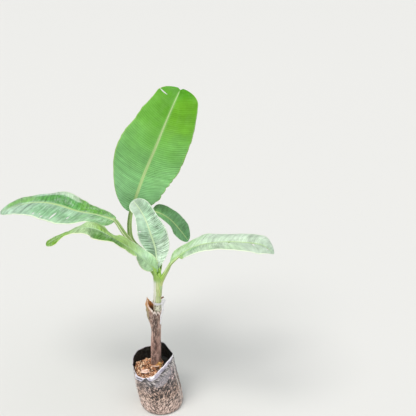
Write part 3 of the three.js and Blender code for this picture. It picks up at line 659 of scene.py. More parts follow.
def rib(name, L, mat, seed, replaces=()):
    """stalk and midrib in one: a crescent round the stem, then a grooved stalk, then the tapering rib"""
    end_u = 0.985 - (L.get("notch", 0.0) + 3.0 * ("notch" in L)) / arc_length(L)
    blade_u = np.linspace(0, end_u, 150)
    bp = along(L["path"], blade_u)
    sp = [np.array([*[float(a) for a in stem_at(z)[:2]], z]) for z in (448.0, 468.0)] + [np.array(p, float) for p in L["stalk"]]
    pts = np.array(sp + [bp[0], bp[12]])
    # smooth run from the stem to the blade's foot
    n = len(pts) - 1
    tt = np.linspace(0, (n - 1) / n, 34 * (n - 1))
    run = along(pts, tt)
    path = np.vstack([run[:-1], bp])
    k_foot = len(run) - 1
    s = np.r_[0, np.cumsum(np.linalg.norm(np.diff(path, axis=0), axis=1))]
    # even steps, then light smoothing of the joint
    total = s[-1]
    m = int(total / 1.6)
    se = np.linspace(0, total, m)
    path = np.stack([np.interp(se, s, path[:, k]) for k in range(3)], -1)
    s_foot = s[k_foot]
    ker = np.exp(-0.5 * (np.arange(-9, 10) / 4.0) ** 2)
    ker /= ker.sum()
    pad = np.vstack([np.repeat(path[:1], 9, 0), path, np.repeat(path[-1:], 9, 0)])
    sm = np.stack([np.convolve(pad[:, k], ker, mode="valid") for k in range(3)], -1)
    wgt = (1 - smooth(s_foot + 5, s_foot + 30, se))[:, None]
    path = path * (1 - wgt) + sm * wgt
    T = unit(np.gradient(path, axis=0))
    # side direction: from the stem's to the blade's
    ub = np.clip((se - s_foot) / max(total - s_foot, 1e-6), 0, 1) * end_u
    _, _, Bb, Nb = leaf_frame(L, ub)
    # the channel opens midway between the two halves of the blade
    ro = np.radians((along(L["fR"], ub) - along(L["fL"], ub)) / 2)[:, None]
    Bb = Bb * np.cos(ro) + Nb * np.sin(ro)
    a0 = math.radians(L["az0"])
    B0 = np.array([math.sin(a0), -math.cos(a0), 0.0])
    f = smooth(60, s_foot + 15, se)[:, None]
    B = unit(B0 * (1 - f) + Bb * f)
    B = unit(B - (B * T).sum(-1, keepdims=True) * T)
    N = np.cross(B, T)
    # section sizes along the run
    st_pts = np.linspace(0, n, n + 1)
    rr = [float(stem_at(448.0)[2]) + 0.15, float(stem_at(468.0)[2]) + 0.7] + list(L["rs"]) + [L["foot_r"], L["rib"][0]]
    # place of each control point along the run
    ctrl = [float(s[min(34 * i, k_foot)]) if i < n - 1 else (s_foot if i == n - 1 else s_foot + 32) for i in range(n + 1)]
    ctrl[0] = 0.0
    Rr = np.interp(se, ctrl, rr)
    rib_w = along(L["rib"], ub / end_u)
    Rr = np.where(se > s_foot + 32, rib_w, Rr)
    sR = np.stack([np.convolve(np.pad(Rr, 9, mode="edge"), ker, mode="valid")], -1)[:, 0]
    Rr = sR
    psi = np.radians(np.interp(se, [0, ctrl[1], ctrl[2], ctrl[3], s_foot], [168, 154, 141, 128, 100]))
    th = np.interp(se, [0, 18, ctrl[2], ctrl[3], s_foot], [0.35, 1.3, 2.6, 3.6, 3.2])
    fill = smooth(s_foot - 26, s_foot + 10, se)
    m2 = 17
    al = np.linspace(-1, 1, m2)
    rings = []
    for i in range(len(se)):
        a = al * psi[i]
        r = Rr[i]
        outer = np.stack([r * np.sin(a), -r * np.cos(a)], -1)
        thin = 0.35 + th[i] * np.cos(al * math.pi / 2) ** 0.7
        ri = np.maximum(r - thin, 0.3)
        inner = np.stack([ri * np.sin(a), -ri * np.cos(a)], -1)
        # rib: half round below the blade, lips and a shallow groove above
        lipy = 0.16 * r + 0.35
        ob = np.stack([r * np.sin(al * math.pi / 2), -0.95 * r * np.cos(al * math.pi / 2) + lipy * np.abs(al) ** 6], -1)
        xi = r * np.sin(al * math.pi / 2) * 0.97
        it = np.stack([xi, lipy + 0.1 * r * (1 - al ** 2) - 0.16 * r * np.exp(-(al / 0.33) ** 2)], -1)
        g = fill[i]
        o = outer * (1 - g) + ob * g
        inn = inner * (1 - g) + it * g
        sec = np.vstack([o, inn[::-1]])
        rings.append(path[i] + sec[:, :1] * B[i] + sec[:, 1:] * N[i])
    rings = np.array(rings)
    rings[-1] = rings[-1] * 0.25 + rings[-1].mean(0) * 0.75
    v, faces = closed_sweep(rings * MM)
    mcount = rings.shape[1]
    vv = np.tile(np.linspace(0, 1, mcount), (len(se), 1))
    # outer arc takes 0 to 0.5 and the upper side 0.5 to 1, so the groove's middle is at 0.75
    uu = np.repeat((se / total)[:, None], mcount, 1)
    uv = np.vstack([np.stack([uu, vv], -1).reshape(-1, 2), [[0, 0.5], [1, 0.5]]])
    return build(name, v, faces, mat, uv=uv, replaces=replaces)


# ---------------------------------------------------------------- stem
def stem_piece():
    na, nz = 160, 330
    th = np.linspace(0, 2 * math.pi, na, endpoint=False)
    z = np.linspace(164, 533, nz)
    A, Z = np.meshgrid(th, z)
    D = np.degrees(A)
    cx, cy, r = stem_at(z)
    h = np.zeros_like(Z)
    # margins of the wrapped sheaths: a sharp step that fades away round the stem
    for a0, tw, amp in ((232, -5, 0.9), (318, 6, 0.8), (52, -7, 0.9), (140, 5, 0.8)):
        d = np.mod(D - (a0 + tw * (Z - 400) / 100), 360)
        h += amp * np.exp(-d / 24.0)
    c, s = np.cos(A), np.sin(A)
    h += 0.22 * vnoise(c * 9, s * 9, Z / 55, 21) + 0.12 * vnoise(c * 20, s * 20, Z / 40, 22)
    crease = smooth(380, 396, Z) * (1 - smooth(418, 432, Z))
    h += crease * (0.55 * vnoise(c * 2.6, s * 2.6, Z / 3.4, 23) + 0.3 * vnoise(c * 5, s * 5, Z / 2.2, 24))
    h -= 0.9 * np.exp(-((Z - 421) / 3.5) ** 2)
    h += 0.35 * vnoise(c * 2, s * 2, Z / 22, 25)
    top = smooth(498, 533, Z)
    shrink = 3.1 - 2.2 * smooth(376, 404, Z)
    R = r[:, None] + (h - shrink) * (1 - top)
    P = np.stack([cx[:, None] + R * c, cy[:, None] + R * s, Z], -1)
    v, faces = closed_sweep(P * MM)
    uv = np.stack([np.tile(th / (2 * math.pi), (nz, 1)), np.repeat(((z - 164) / 369)[:, None], na, 1)], -1).reshape(-1, 2)
    uv = np.vstack([uv, [[0.5, 0], [0.5, 1]]])
    m = Nodes("stem_green")
    obj = m.coord("Object")
    x, y, zz = m.split(obj)
    # height in metres, angle from the stem's own axis
    ax = m.math("ADD", m.math("MULTIPLY", m.math("SUBTRACT", zz, 0.42), 0.07), -0.0065)
    ang = m.math("ARCTAN2", y, m.math("SUBTRACT", x, ax))
    streak = m.noise(m.join(m.math("MULTIPLY", x, 420.0), m.math("MULTIPLY", y, 420.0), m.math("MULTIPLY", zz, 16.0)), 1.0, 3.0, 0.6)
    fine = m.noise(m.join(m.math("MULTIPLY", x, 900.0), m.math("MULTIPLY", y, 900.0), m.math("MULTIPLY", zz, 30.0)), 1.0, 2.0, 0.6)
    mott = m.noise(obj, 210.0, 4.0, 0.65)
    big = m.noise(obj, 60.0, 3.0, 0.6)
    base = m.mix(m.range(streak, 0.35, 0.7), (0.53, 0.63, 0.29), (0.75, 0.81, 0.47))
    base = m.mix(m.range(fine, 0.5, 0.72, 0.0, 0.5), base, (0.46, 0.62, 0.19))
    base = m.mix(m.range(ang, -0.95, -0.35, 0.0, 0.8), base, (0.76, 0.84, 0.38))
    # a pale papery margin runs up the left front
    pale = m.math("MULTIPLY", m.range(ang, -2.75, -2.58), m.range(ang, -2.06, -1.92, 1.0, 0.0))
    base = m.mix(m.math("MULTIPLY", pale, 0.9), base, (0.97, 0.96, 0.86))
    dark = m.math("MULTIPLY", m.range(ang, -2.08, -2.0), m.range(ang, -1.92, -1.84, 1.0, 0.0))
    base = m.mix(m.math("MULTIPLY", dark, 0.6), base, (0.22, 0.30, 0.10))
    base = m.mix(m.range(zz, 0.508, 0.522, 0.0, 0.9), base, m.mix(m.range(fine, 0.4, 0.6), (0.36, 0.60, 0.10), (0.46, 0.68, 0.16)))
    low = m.range(m.math("ADD", zz, m.math("MULTIPLY", m.math("SUBTRACT", big, 0.5), 0.04)), 0.414, 0.430, 1.0, 0.0)
    worn = m.mix(m.range(mott, 0.40, 0.52), (0.16, 0.14, 0.09), (0.84, 0.82, 0.66))
    base = m.mix(m.math("MULTIPLY", low, 0.9), base, worn)
    low2 = m.range(zz, 0.36, 0.395, 1.0, 0.0)
    base = m.mix(m.math("MULTIPLY", low2, 0.9), base, (0.30, 0.20, 0.14))
    n1 = m.bump(fine, 0.35, 0.0008)
    n2 = m.bump(mott, 0.2, 0.0008, n1)
    mat = m.finish(base, 0.42, n2, 0.45)
    return build("stem_visual", v, faces, mat, uv=uv, replaces=["stem"])


def shell(name, grid_out, grid_in, mats, slot, wrap, uv=None, replaces=()):
    """closed thin solid between two grids of the same shape, joined all round their borders"""
    n, m, _ = grid_out.shape
    v = np.vstack([grid_out.reshape(-1, 3), grid_in.reshape(-1, 3)])
    o = n * m
    f = grid_faces(n, m, wrap=wrap).tolist() + [q[::-1] for q in grid_faces(n, m, wrap=wrap, offset=o).tolist()]
    last = m if wrap else m - 1
    for c in range(last):
        d = (c + 1) % m
        f.append([d, c, o + c, o + d])
        e = (n - 1) * m
        f.append([e + c, e + d, o + e + d, o + e + c])
    if not wrap:
        for r in range(n - 1):
            a, b = r * m, (r + 1) * m
            f.append([a, b, o + b, o + a])
            a, b = a + m - 1, b + m - 1
            f.append([b, a, o + a, o + b])
    if uv is not None:
        uv = np.vstack([uv.reshape(-1, 2)] * 2)
    return v * MM, f, uv


def dry_sheath_piece():
    """papery dry layer: wraps the lower stem, torn at the top, with a flap that peels away on the left"""
    na, nz = 168, 150
    th = np.linspace(0, 2 * math.pi, na, endpoint=False)
    D = np.degrees(th)
    top = around([392, 388, 384, 386, 396, 418, 440, 436, 402, 392, 386, 390], D)
    top = top + 5.0 * vnoise(np.cos(th) * 7, np.sin(th) * 7, 0, 41) + 3.2 * vnoise(np.cos(th) * 17, np.sin(th) * 17, 0, 42)
    s = np.linspace(0, 1, nz)
    Z = 163.0 + s[:, None] * (top - 163.0)[None, :]
    A = np.tile(th, (nz, 1))
    c, si = np.cos(A), np.sin(A)
    cx, cy, r = stem_at(Z)
    left = np.clip(np.cos(np.radians(np.degrees(A) - 192)), 0, 1) ** 1.4
    peel = left * (smooth(300, 425, Z) ** 0.85 * 24.0 + 3.0 * np.exp(-((Z - 372) / 24.0) ** 2))
    free = smooth(0.72, 1.0, s)[:, None]
    wr = 0.8 * vnoise(c * 5, si * 5, Z / 60, 43) + 0.45 * vnoise(c * 12, si * 12, Z / 34, 44) + 0.25 * vnoise(c * 24, si * 24, Z / 22, 45)
    puck = 0.4 * vnoise(c * 4, si * 4, Z / 6, 46) + 0.35 * vnoise(c * 9, si * 9, Z / 9, 47)
    step = 0.0
    for a0, tw, amp in ((250, -6, 1.0), (300, 5, 0.8), (20, 7, 0.9), (110, -5, 0.9), (205, 4, 1.0)):
        d = np.mod(np.degrees(A) - (a0 + tw * (Z - 260) / 100), 360)
        step = step + amp * np.exp(-d / 16.0)
    foot = 2.6 * (1 - smooth(163, 186, Z)) * (0.6 + 0.6 * vnoise(c * 4, si * 4, 0, 48))
    off = -1.2 + 0.9 * (wr + 0.3) + puck + step * 1.1 + foot + free * (1.0 + 1.6 * vnoise(c * 6, si * 6, Z / 14, 49))
    off = np.maximum(off, -1.9) + peel * (1 + 0.10 * vnoise(c * 5, si * 5, Z / 11, 50))
    R = r + off
    out = np.stack([cx + R * c, cy + R * si, Z], -1)
    # the flap leans a little towards the front as it peels
    out[..., 1] -= peel * 0.18
    inn = np.stack([cx + (R - 0.5) * c, cy + (R - 0.5) * si, Z], -1)
    inn[..., 1] -= peel * 0.18
    uv = np.stack([np.tile(th / (2 * math.pi), (nz, 1)), np.tile(s[:, None], (1, na))], -1)
    v, f, uv = shell("dry", out, inn, None, None, True, uv)
    m = Nodes("dry_sheath")
    obj = m.coord("Object")
    x, y, z = m.split(obj)
    streak = m.noise(m.join(m.math("MULTIPLY", x, 300.0), m.math("MULTIPLY", y, 300.0), m.math("MULTIPLY", z, 26.0)), 1.0, 4.0, 0.6)
    fine = m.noise(m.join(m.math("MULTIPLY", x, 800.0), m.math("MULTIPLY", y, 800.0), m.math("MULTIPLY", z, 60.0)), 1.0, 2.0, 0.6)
    blot = m.noise(m.join(m.math("MULTIPLY", x, 120.0), m.math("MULTIPLY", y, 120.0), m.math("MULTIPLY", z, 60.0)), 1.0, 3.0, 0.65)
    ax = m.math("ADD", m.math("MULTIPLY", m.math("SUBTRACT", z, 0.42), 0.07), -0.0065)
    ang = m.math("ARCTAN2", y, m.math("SUBTRACT", x, ax))
    base = m.ramp(streak, [(0.30, (0.075, 0.036, 0.026)), (0.43, (0.21, 0.120, 0.090)), (0.54, (0.42, 0.270, 0.215)), (0.68, (0.74, 0.54, 0.46))])
    # dark blotches down the middle; paler pinkish sides, partly the layers' own pale edges and partly painted
    # highlights where the light catches the stem's left and right edges
    mid = m.math("MULTIPLY", m.range(ang, -2.15, -1.85), m.range(ang, -1.45, -1.1, 1.0, 0.0))
    base = m.mix(m.math("MULTIPLY", mid, m.range(blot, 0.38, 0.56, 0.25, 0.9)), base, (0.085, 0.052, 0.042))
    side = m.math("ADD", m.range(ang, -2.62, -2.2, 1.0, 0.0), m.range(ang, -1.05, -0.8), clamp=True)
    base = m.mix(m.math("MULTIPLY", side, 0.45), base, (0.66, 0.44, 0.36))
    base = m.mix(m.range(blot, 0.53, 0.63, 0.0, 0.85), base, (0.065, 0.038, 0.031))
    base = m.mix(m.range(fine, 0.52, 0.68, 0.0, 0.7), base, m.mix(m.range(z, 0.28, 0.36), (0.92, 0.64, 0.53), (0.90, 0.72, 0.62)))
    # tan orange towards the flap's tip, olive at its outer side
    tip = m.range(z, 0.392, 0.424)
    base = m.mix(m.math("MULTIPLY", tip, 0.9), base, m.mix(m.range(streak, 0.38, 0.62), (0.55, 0.20, 0.06), (0.92, 0.50, 0.24)))
    ol = m.math("MULTIPLY", m.range(x, -0.030, -0.040, 0.0, 1.0), m.range(z, 0.30, 0.35))
    base = m.mix(m.math("MULTIPLY", ol, m.range(z, 0.40, 0.43, 0.6, 0.1)), base, (0.30, 0.28, 0.10))
    _, along_v, _ = m.split(m.coord("UV"))
    base = m.mix(m.math("MULTIPLY", m.range(along_v, 0.955, 0.975), m.range(z, 0.40, 0.43, 0.95, 0.4)), base, (0.92, 0.78, 0.70))
    lowz = m.range(z, 0.172, 0.20, 1.0, 0.0)
    base = m.mix(m.range(z, 0.26, 0.31, 1.0, 0.0), base, m.mix(1.0, base, (0.95, 0.87, 0.88), "MULTIPLY"))
    base = m.mix(m.math("MULTIPLY", lowz, 0.5), base, (0.20, 0.11, 0.06))
    n1 = m.bump(streak, 0.5, 0.0012)
    n2 = m.bump(fine, 0.4, 0.0006, n1)
    mat = m.finish(base, 0.62, n2, 0.4)
    m = Nodes("dry_sheath_inside")
    obj = m.coord("Object")
    x, y, z = m.split(obj)
    streak = m.noise(m.join(m.math("MULTIPLY", x, 300.0), m.math("MULTIPLY", y, 300.0), m.math("MULTIPLY", z, 26.0)), 1.0, 4.0, 0.6)
    # orange inner face of the peeled flap, made brighter than its own tone as painted light falling on it
    base = m.mix(m.range(streak, 0.38, 0.60), (0.75, 0.24, 0.05), (1.0, 0.62, 0.30))
    # darker further down inside: painted shade between the flap and the stem
    base = m.mix(m.range(z, 0.385, 0.408, 1.0, 0.0), base, m.mix(m.range(streak, 0.4, 0.6), (0.10, 0.05, 0.045), (0.40, 0.26, 0.22)))
    inside = m.finish(base, 0.6, m.bump(streak, 0.4, 0.001), 0.4)
    half = (nz - 1) * na
    which = [int(half <= k < 2 * half) for k in range(len(f))]
    return build("dry_sheath_visual", v, outward(v, f), [mat, inside], uv=uv, replaces=["dry_sheath"], face_mat=which)


# ---------------------------------------------------------------- tie
def strip(path, side, width, thick, crinkle=0.0, seed=0):
    """closed rings of a thin ribbon along path; side is the direction of its width"""
    path = np.asarray(path, float)
    n = len(path)
    T = unit(np.gradient(path, axis=0))
    S = np.asarray(side, float) * np.ones((n, 1))
    S = unit(S - (S * T).sum(-1, keepdims=True) * T)
    N = np.cross(T, S)
    w = np.asarray(width, float) * np.ones(n)
    q = np.linspace(-1, 1, 9)
    i = np.arange(n)[:, None]
    bend = crinkle * (vnoise(i / 3.0, q[None, :] * 2.4, 0, seed) + 0.5 * vnoise(i / 1.3, q[None, :] * 4, 0, seed + 1))
    up = path[:, None] + (w[:, None] * q[None, :] / 2)[..., None] * S[:, None] + (bend + thick / 2)[..., None] * N[:, None]
    dn = path[:, None] + (w[:, None] * q[None, :] / 2)[..., None] * S[:, None] + (bend - thick / 2)[..., None] * N[:, None]
    return np.concatenate([up, dn[:, ::-1]], 1)


def joined(parts):
    vs, fs, o = [], [], 0
    for v, f in parts:
        vs.append(v)
        fs += [[k + o for k in g] for g in outward(v, f)]
        o += len(v)
    return np.vstack(vs), fs


def tie_pieces():
    m = Nodes("tie_film")
    obj = m.coord("Object")
    n = m.noise(obj, 420.0, 3.0, 0.6)
    base = m.mix(m.range(n, 0.35, 0.62), (0.72, 0.70, 0.74), (0.97, 0.96, 0.97))
    mat = m.finish(base, 0.38, m.bump(n, 0.5, 0.0008), 0.5)
    cx, cy, r = [float(a) for a in stem_at(421.0)]
    parts = []
    for k, (dz, turn, w, s0) in enumerate(((0.9, 352, 5.4, 0), (-1.5, 350, 4.2, 20), (0.6, 340, 3.2, 60))):
        a = np.radians(np.linspace(-40 + s0, -40 + s0 + turn, 120))
        rr = r + 1.2 + 0.55 * k + 0.3 * np.sin(a * 5 + k)
        zz = 421 + dz + 1.2 * np.sin(a * 2 + k * 2.0) + 1.6 * np.cos(a + 2.2)
        p = np.stack([cx + rr * np.cos(a), cy + rr * np.sin(a), zz], -1)
        parts.append(closed_sweep(strip(p, (0, 0, 1), w, 0.45, 0.45, 60 + k) * MM))
    # knot at the right front with one flat loop above it and a short end beside it
    k0 = np.array([10.5, -11.0, 424.5])
    a = np.linspace(-0.5 * math.pi, 1.46 * math.pi, 44)
    out = np.stack([np.cos(a), 0.25 * np.sin(a * 0.5), np.sin(a)], -1)
    loop = k0 + [5.6, -0.5, 7.6] + out * [3.4, 2.0, 6.0] + np.stack([2.0 * np.sin(a), 0 * a, 0 * a], -1)
    parts.append(closed_sweep(strip(loop, out * [1, 0.2, 1], 7.0 + 0.9 * np.sin(a * 2), 0.45, 0.6, 71) * MM))
    stub = k0 + np.array([[-3, 0, -1], [0, -1.4, 0.5], [3, -2, 2.5], [5.5, -2.2, 5.5], [7.5, -2, 9.0]])
    stub = along(stub, np.linspace(0, 1, 24))
    parts.append(closed_sweep(strip(stub, (1, 0, -0.8), 5.0, 0.45, 0.6, 73) * MM))
    wrap_a = np.linspace(0, 2 * math.pi * 0.97, 30)
    knot = np.stack([k0[0] + 0.6 + 4.0 * np.cos(wrap_a), k0[1] - 0.6 + 2.8 * np.sin(wrap_a), k0[2] + 0.8 * np.sin(wrap_a * 2)], -1)
    parts.append(closed_sweep(strip(knot, (0, 0, 1), 5.6, 0.6, 0.5, 75) * MM))
    v, f = joined(parts)
    build("tie_visual", v, f, mat, replaces=["tie"])
    # tail hanging down the stem's right front, twisted here and there
    t = np.linspace(0, 1, 96)
    p = along([[11, -11.5, 425], [13.5, -11, 413], [13.5, -11.5, 401], [9.0, -13.5, 386], [5.5, -13.5, 370], [4.2, -14.0, 355], [3.6, -14.5, 341]], t)
    p[:, 0] += 0.7 * np.sin(t * 17)
    w = np.interp(t, [0, 0.12, 0.26, 0.40, 0.55, 0.8, 0.94, 1], [5.0, 7.4, 9.4, 7.6, 5.2, 4.6, 4.2, 2.2])
    side = np.stack([0.95 + 0 * t, 0.55 * np.sin(t * 15 + 1.0), 0.10 * np.sin(t * 9)], -1)
    v, f = closed_sweep(strip(p, side, w, 0.45, 0.7, 81) * MM)
    build("tie_tail_visual", v, outward(v, f), mat, replaces=["tie_tail"])
    # a withered bit caught above the knot
    m = Nodes("withered")
    obj = m.coord("Object")
    n = m.noise(obj, 500.0, 3.0, 0.6)
    mat = m.finish(m.mix(m.range(n, 0.4, 0.6), (0.12, 0.04, 0.02), (0.46, 0.24, 0.15)), 0.7, m.bump(n, 0.5, 0.0008), 0.3)
    p = along([[7.5, -12, 441], [11, -13.5, 445.5], [15, -13, 448.5], [18.5, -12, 447.0]], np.linspace(0, 1, 26))
    v, f = closed_sweep(strip(p, (-0.3, -0.25, 1), np.interp(np.arange(26), [0, 8, 18, 25], [2.5, 6.5, 5.5, 1.5]), 0.5, 1.0, 91) * MM)
    build("withered_bit", v, outward(v, f), mat)


# ---------------------------------------------------------------- bag
def bag_radius(z):
    z = np.asarray(z, float)
    t = (z - 24) / 176
    low = BAG_FOOT_R + (78 - BAG_FOOT_R) * np.sqrt(np.maximum(1 - (1 - np.clip(z, 0, 24) / 24) ** 2, 0))
    high = 78 + 1.5 * np.sin(math.pi * np.minimum(1, 1.8 * np.maximum(t, 0))) + (BAG_RIM_R - BAG_R + 1.5) * np.maximum(t, 0) ** 1.3
    return np.where(z < 24, low, high)


def bag_relief(A, Z, rim, soil):
    """height of the film above its plain shape, mm"""
    c, s = np.cos(A), np.sin(A)
    D = np.degrees(A)
    up = smooth(-14, 10, Z - soil)
    peb = cells(A / (2 * math.pi) * 89, Z / 5.6, 89, 5)
    bump = 1.5 * (0.5 - peb[0]) * (0.5 + 0.9 * peb[2])
    h = bump * (1 - 0.75 * up) * smooth(0, 7, Z)
    h = h + 1.3 * vnoise(c * 3.6, s * 3.6, Z / 22, 51) * smooth(0, 20, Z) + 0.7 * vnoise(c * 8, s * 8, Z / 10, 52) * smooth(0, 12, Z)
    # slack folds of the free film, slanting near the right front
    A2 = A + 0.0035 * (Z - 180) * np.where((D > 245) & (D < 360), 1.0, 0.3)
    c2, s2 = np.cos(A2), np.sin(A2)
    right = smooth(246, 262, D) * (1 - smooth(345, 358, D))
    fold = vnoise(c2 * 11, s2 * 11, Z / 46, 53) + 0.6 * vnoise(c2 * 21, s2 * 21, Z / 28, 54)
    reach = smooth(-46, -2, Z - rim)
    h = h + fold * (0.5 + 1.3 * right) * np.maximum(up * 0.9, reach) * (1 - 0.82 * smooth(-13, -4, Z - rim) * smooth(205, 222, D) * (1 - smooth(345, 358, D)))
    # side creases of the flat tube that the bag was made from
    for a0, amp, wd in ((189, 1.7, 2.0), (3, 1.5, 2.2)):
        d = (D - a0 + 180) % 360 - 180 + 2.2 * vnoise(Z / 26, a0, 0, 55)
        h = h + amp * np.exp(-(d / wd) ** 2) * smooth(4, 22, Z)
    return h


def bag_piece():
    na = 330
    th = np.linspace(0, 2 * math.pi, na, endpoint=False)
    D = np.degrees(th)
    rim = around(RIM_Z, D) + 0.9 * vnoise(np.cos(th) * 5, np.sin(th) * 5, 0, 56) + 0.35 * vnoise(np.cos(th) * 18, np.sin(th) * 18, 0, 57)
    soil = around(SOIL_Z, D)
    bandR = smooth(252, 264, D) * (1 - smooth(344, 357, D))
    flap = smooth(213, 223, D) * (1 - smooth(240, 254, D))
    rho = 1.2 + 1.9 * bandR * (1 - 0.45 * smooth(310, 345, D)) + 2.6 * flap
    beta = np.radians(75 + 88 * bandR + 92 * flap)
    wide = np.interp(D, [252, 264, 282, 300, 318, 340, 357], [4.0, 9.0, 10.5, 8.0, 5.0, 1.8, 0.0])
    ext = 1.0 + wide * bandR + 8.0 * flap * (0.85 + 0.3 * vnoise(D / 7.0, 0, 0, 66)) + 0.7 * bandR * vnoise(D / 6.0, 0, 0, 67)
    t = 0.7
    s = np.r_[np.linspace(0, 0.02, 4), np.linspace(0.035, 0.13, 9), np.linspace(0.14, 1, 104)]
    z0 = rim - rho
    Z = s[:, None] * z0[None, :]
    A = np.tile(th, (len(s), 1))
    # the free film is pressed flatter at the left and at the back right
    squeeze = 1.7 * np.exp(-((D - 183) / 34.0) ** 2) + 3.4 * np.exp(-((D - 36) / 18.0) ** 2)
    r = bag_radius(Z) + bag_relief(A, Z, rim[None, :], soil[None, :]) - squeeze[None, :] * smooth(120, 175, Z)
    cr, cz = [r], [Z]
    k = 9
    ph = np.linspace(0, 1, k + 1)[1:, None] * beta[None, :]
    r_top = r[-1]
    cr.append(r_top + rho * (1 - np.cos(ph)))
    cz.append(z0 + rho * np.sin(ph))
    e = np.linspace(0, 1, 6)[1:, None] * ext[None, :]
    cr.append(cr[-1][-1] + e * np.sin(beta) * 0.8 + 0.6 * bandR * np.sin(np.linspace(0, math.pi, 6))[1:, None])
    cz.append(cz[-1][-1] + e * np.cos(beta))
    Rm, Zm = np.vstack(cr), np.vstack(cz)
    # distance along the section from the start of the turned rim, negative below it
    run = np.vstack([Z - z0, rho * ph, rho * beta + e])
    # offsets across the film, in the section's own plane
    dR, dZ = np.gradient(Rm, axis=0), np.gradient(Zm, axis=0)
    ln = np.maximum(np.hypot(dR, dZ), 1e-6)
    nR, nZ = dZ / ln, -dR / ln
    flat = np.arange(len(Rm))[:, None] < 3
    nR = np.where(flat, 1.0, nR)
    nZ = np.where(flat, 0.0, nZ)
    Ro, Zo = Rm + nR * t / 2, np.maximum(Zm + nZ * t / 2, 0)
    Ri, Zi = Rm - nR * t / 2, Zm - nZ * t / 2
    inner_from = int(np.searchsorted(Z.min(axis=1), 112.0))
    deep = max(inner_from, 60)
    count = len(Ri) - deep
    rings_r = [np.full(na, q) for q in (16.0, 40.0, 58.0)] + [*Ro] + [*Ri[::-1][:count]]
    rings_z = [np.zeros(na)] * 3 + [*Zo] + [*Zi[::-1][:count]]
    rings_s = [np.full(na, -200.0)] * 3 + [*run] + [*run[::-1][:count]]
    RR, ZZ = np.array(rings_r), np.array(rings_z)
    P = np.stack([BAG_LEAN * ZZ + RR * np.cos(th), RR * np.sin(th), ZZ], -1)
    v, f = closed_sweep(P * MM)
    uv = np.stack([np.tile(th / (2 * math.pi), (len(RR), 1)), 1 + np.array(rings_s) / 200.0], -1).reshape(-1, 2)
    uv = np.vstack([uv, [[0.5, 0], [0.5, 0.5]]])
    # faces on the inner side below the turned rim get the clean dark film
    first_inner = (3 + len(Ro) + (len(Rm) - len(Z)) + 1) * na
    inside = [int(min(g) >= first_inner and max(g) < len(RR) * na + 2 and min(g) < len(RR) * na) for g in f]
    m = Nodes("bag_film")
    obj = m.coord("Object")
    x, y, z = m.split(obj)
    u, w, _ = m.split(m.coord("UV"))
    f0 = m.noise(obj, 235.0, 2.0, 0.55)
    f1 = m.noise(obj, 520.0, 2.0, 0.6)
    f2 = m.noise(obj, 95.0, 2.0, 0.6)
    f3 = m.noise(obj, 26.0, 2.0, 0.6)
    # creased film: dark film in the hollows, pale ridges of a few millimetres that are dust together with painted
    # glints, dustier towards the ground fine wrinkles, their pale streaks painted glints, slant one way at the left and
    # the other way at the right
    arc, high = m.math("MULTIPLY", u, 490.0), m.math("MULTIPLY", z, 1000.0)
    slants = []
    for tilt, off in ((52, 0.0), (-58, 40.0)):
        ct, st = math.cos(math.radians(tilt)), math.sin(math.radians(tilt))
        run_ = m.math("ADD", m.math("MULTIPLY", arc, ct), m.math("MULTIPLY", high, st))
        cut_ = m.math("ADD", m.math("MULTIPLY", arc, -st), m.math("MULTIPLY", high, ct))
        slants.append(m.noise(m.join(m.math("MULTIPLY", run_, 1 / 12.0), m.math("MULTIPLY", cut_, 1 / 4.0), off), 1.0, 2.0, 0.55, 0.6))
    lean = m.range(m.math("ADD", u, m.math("MULTIPLY", m.math("SUBTRACT", f3, 0.5), 0.25)), 0.70, 0.78)
    hatch = m.mix(lean, slants[1], slants[0])
    pat = m.math("ADD", m.math("MULTIPLY", f0, 0.25), m.math("ADD", m.math("MULTIPLY", f1, 0.17), m.math("MULTIPLY", hatch, 0.58)))
    pat = m.math("ADD", pat, m.math("MULTIPLY", m.math("SUBTRACT", f2, 0.5), 0.22))
    pat = m.math("ADD", pat, m.range(z, 0.0, 0.16, 0.045, -0.035, "LINEAR"))
    pat = m.math("ADD", pat, m.math("MULTIPLY", m.math("SUBTRACT", f3, 0.5), 0.12))
    warm = m.ramp(pat, [(0.43, (0.026, 0.022, 0.022)), (0.47, (0.115, 0.086, 0.074)), (0.515, (0.32, 0.225, 0.182)), (0.55, (0.74, 0.54, 0.46)), (0.61, (1.0, 0.80, 0.70))])
    cool = m.ramp(pat, [(0.43, (0.030, 0.028, 0.033)), (0.475, (0.13, 0.118, 0.124)), (0.52, (0.38, 0.330, 0.335)), (0.565, (0.86, 0.74, 0.73))])
    base = m.mix(m.range(m.math("ADD", z, m.math("MULTIPLY", m.math("SUBTRACT", f3, 0.5), 0.10)), 0.07, 0.15), warm, cool)
    # duller round the middle of the bag
    dull = m.math("MULTIPLY", m.range(z, 0.050, 0.085), m.range(z, 0.125, 0.160, 1.0, 0.0))
    base = m.mix(m.math("MULTIPLY", dull, 0.8), base, m.mix(1.0, base, (0.78, 0.70, 0.64), "MULTIPLY"))
    # paler where the free film catches the light at the upper right, duller at the foot
    high_right = m.math("MULTIPLY", m.range(z, 0.118, 0.150), m.range(u, 0.69, 0.75))
    base = m.mix(m.math("MULTIPLY", high_right, m.range(pat, 0.46, 0.54)), base, m.mix(1.0, base, (2.0, 1.82, 1.80), "MULTIPLY"))
    base = m.mix(m.range(z, 0.035, 0.070, 0.9, 0.0), base, m.mix(1.0, base, (0.91, 0.88, 0.88), "MULTIPLY"))
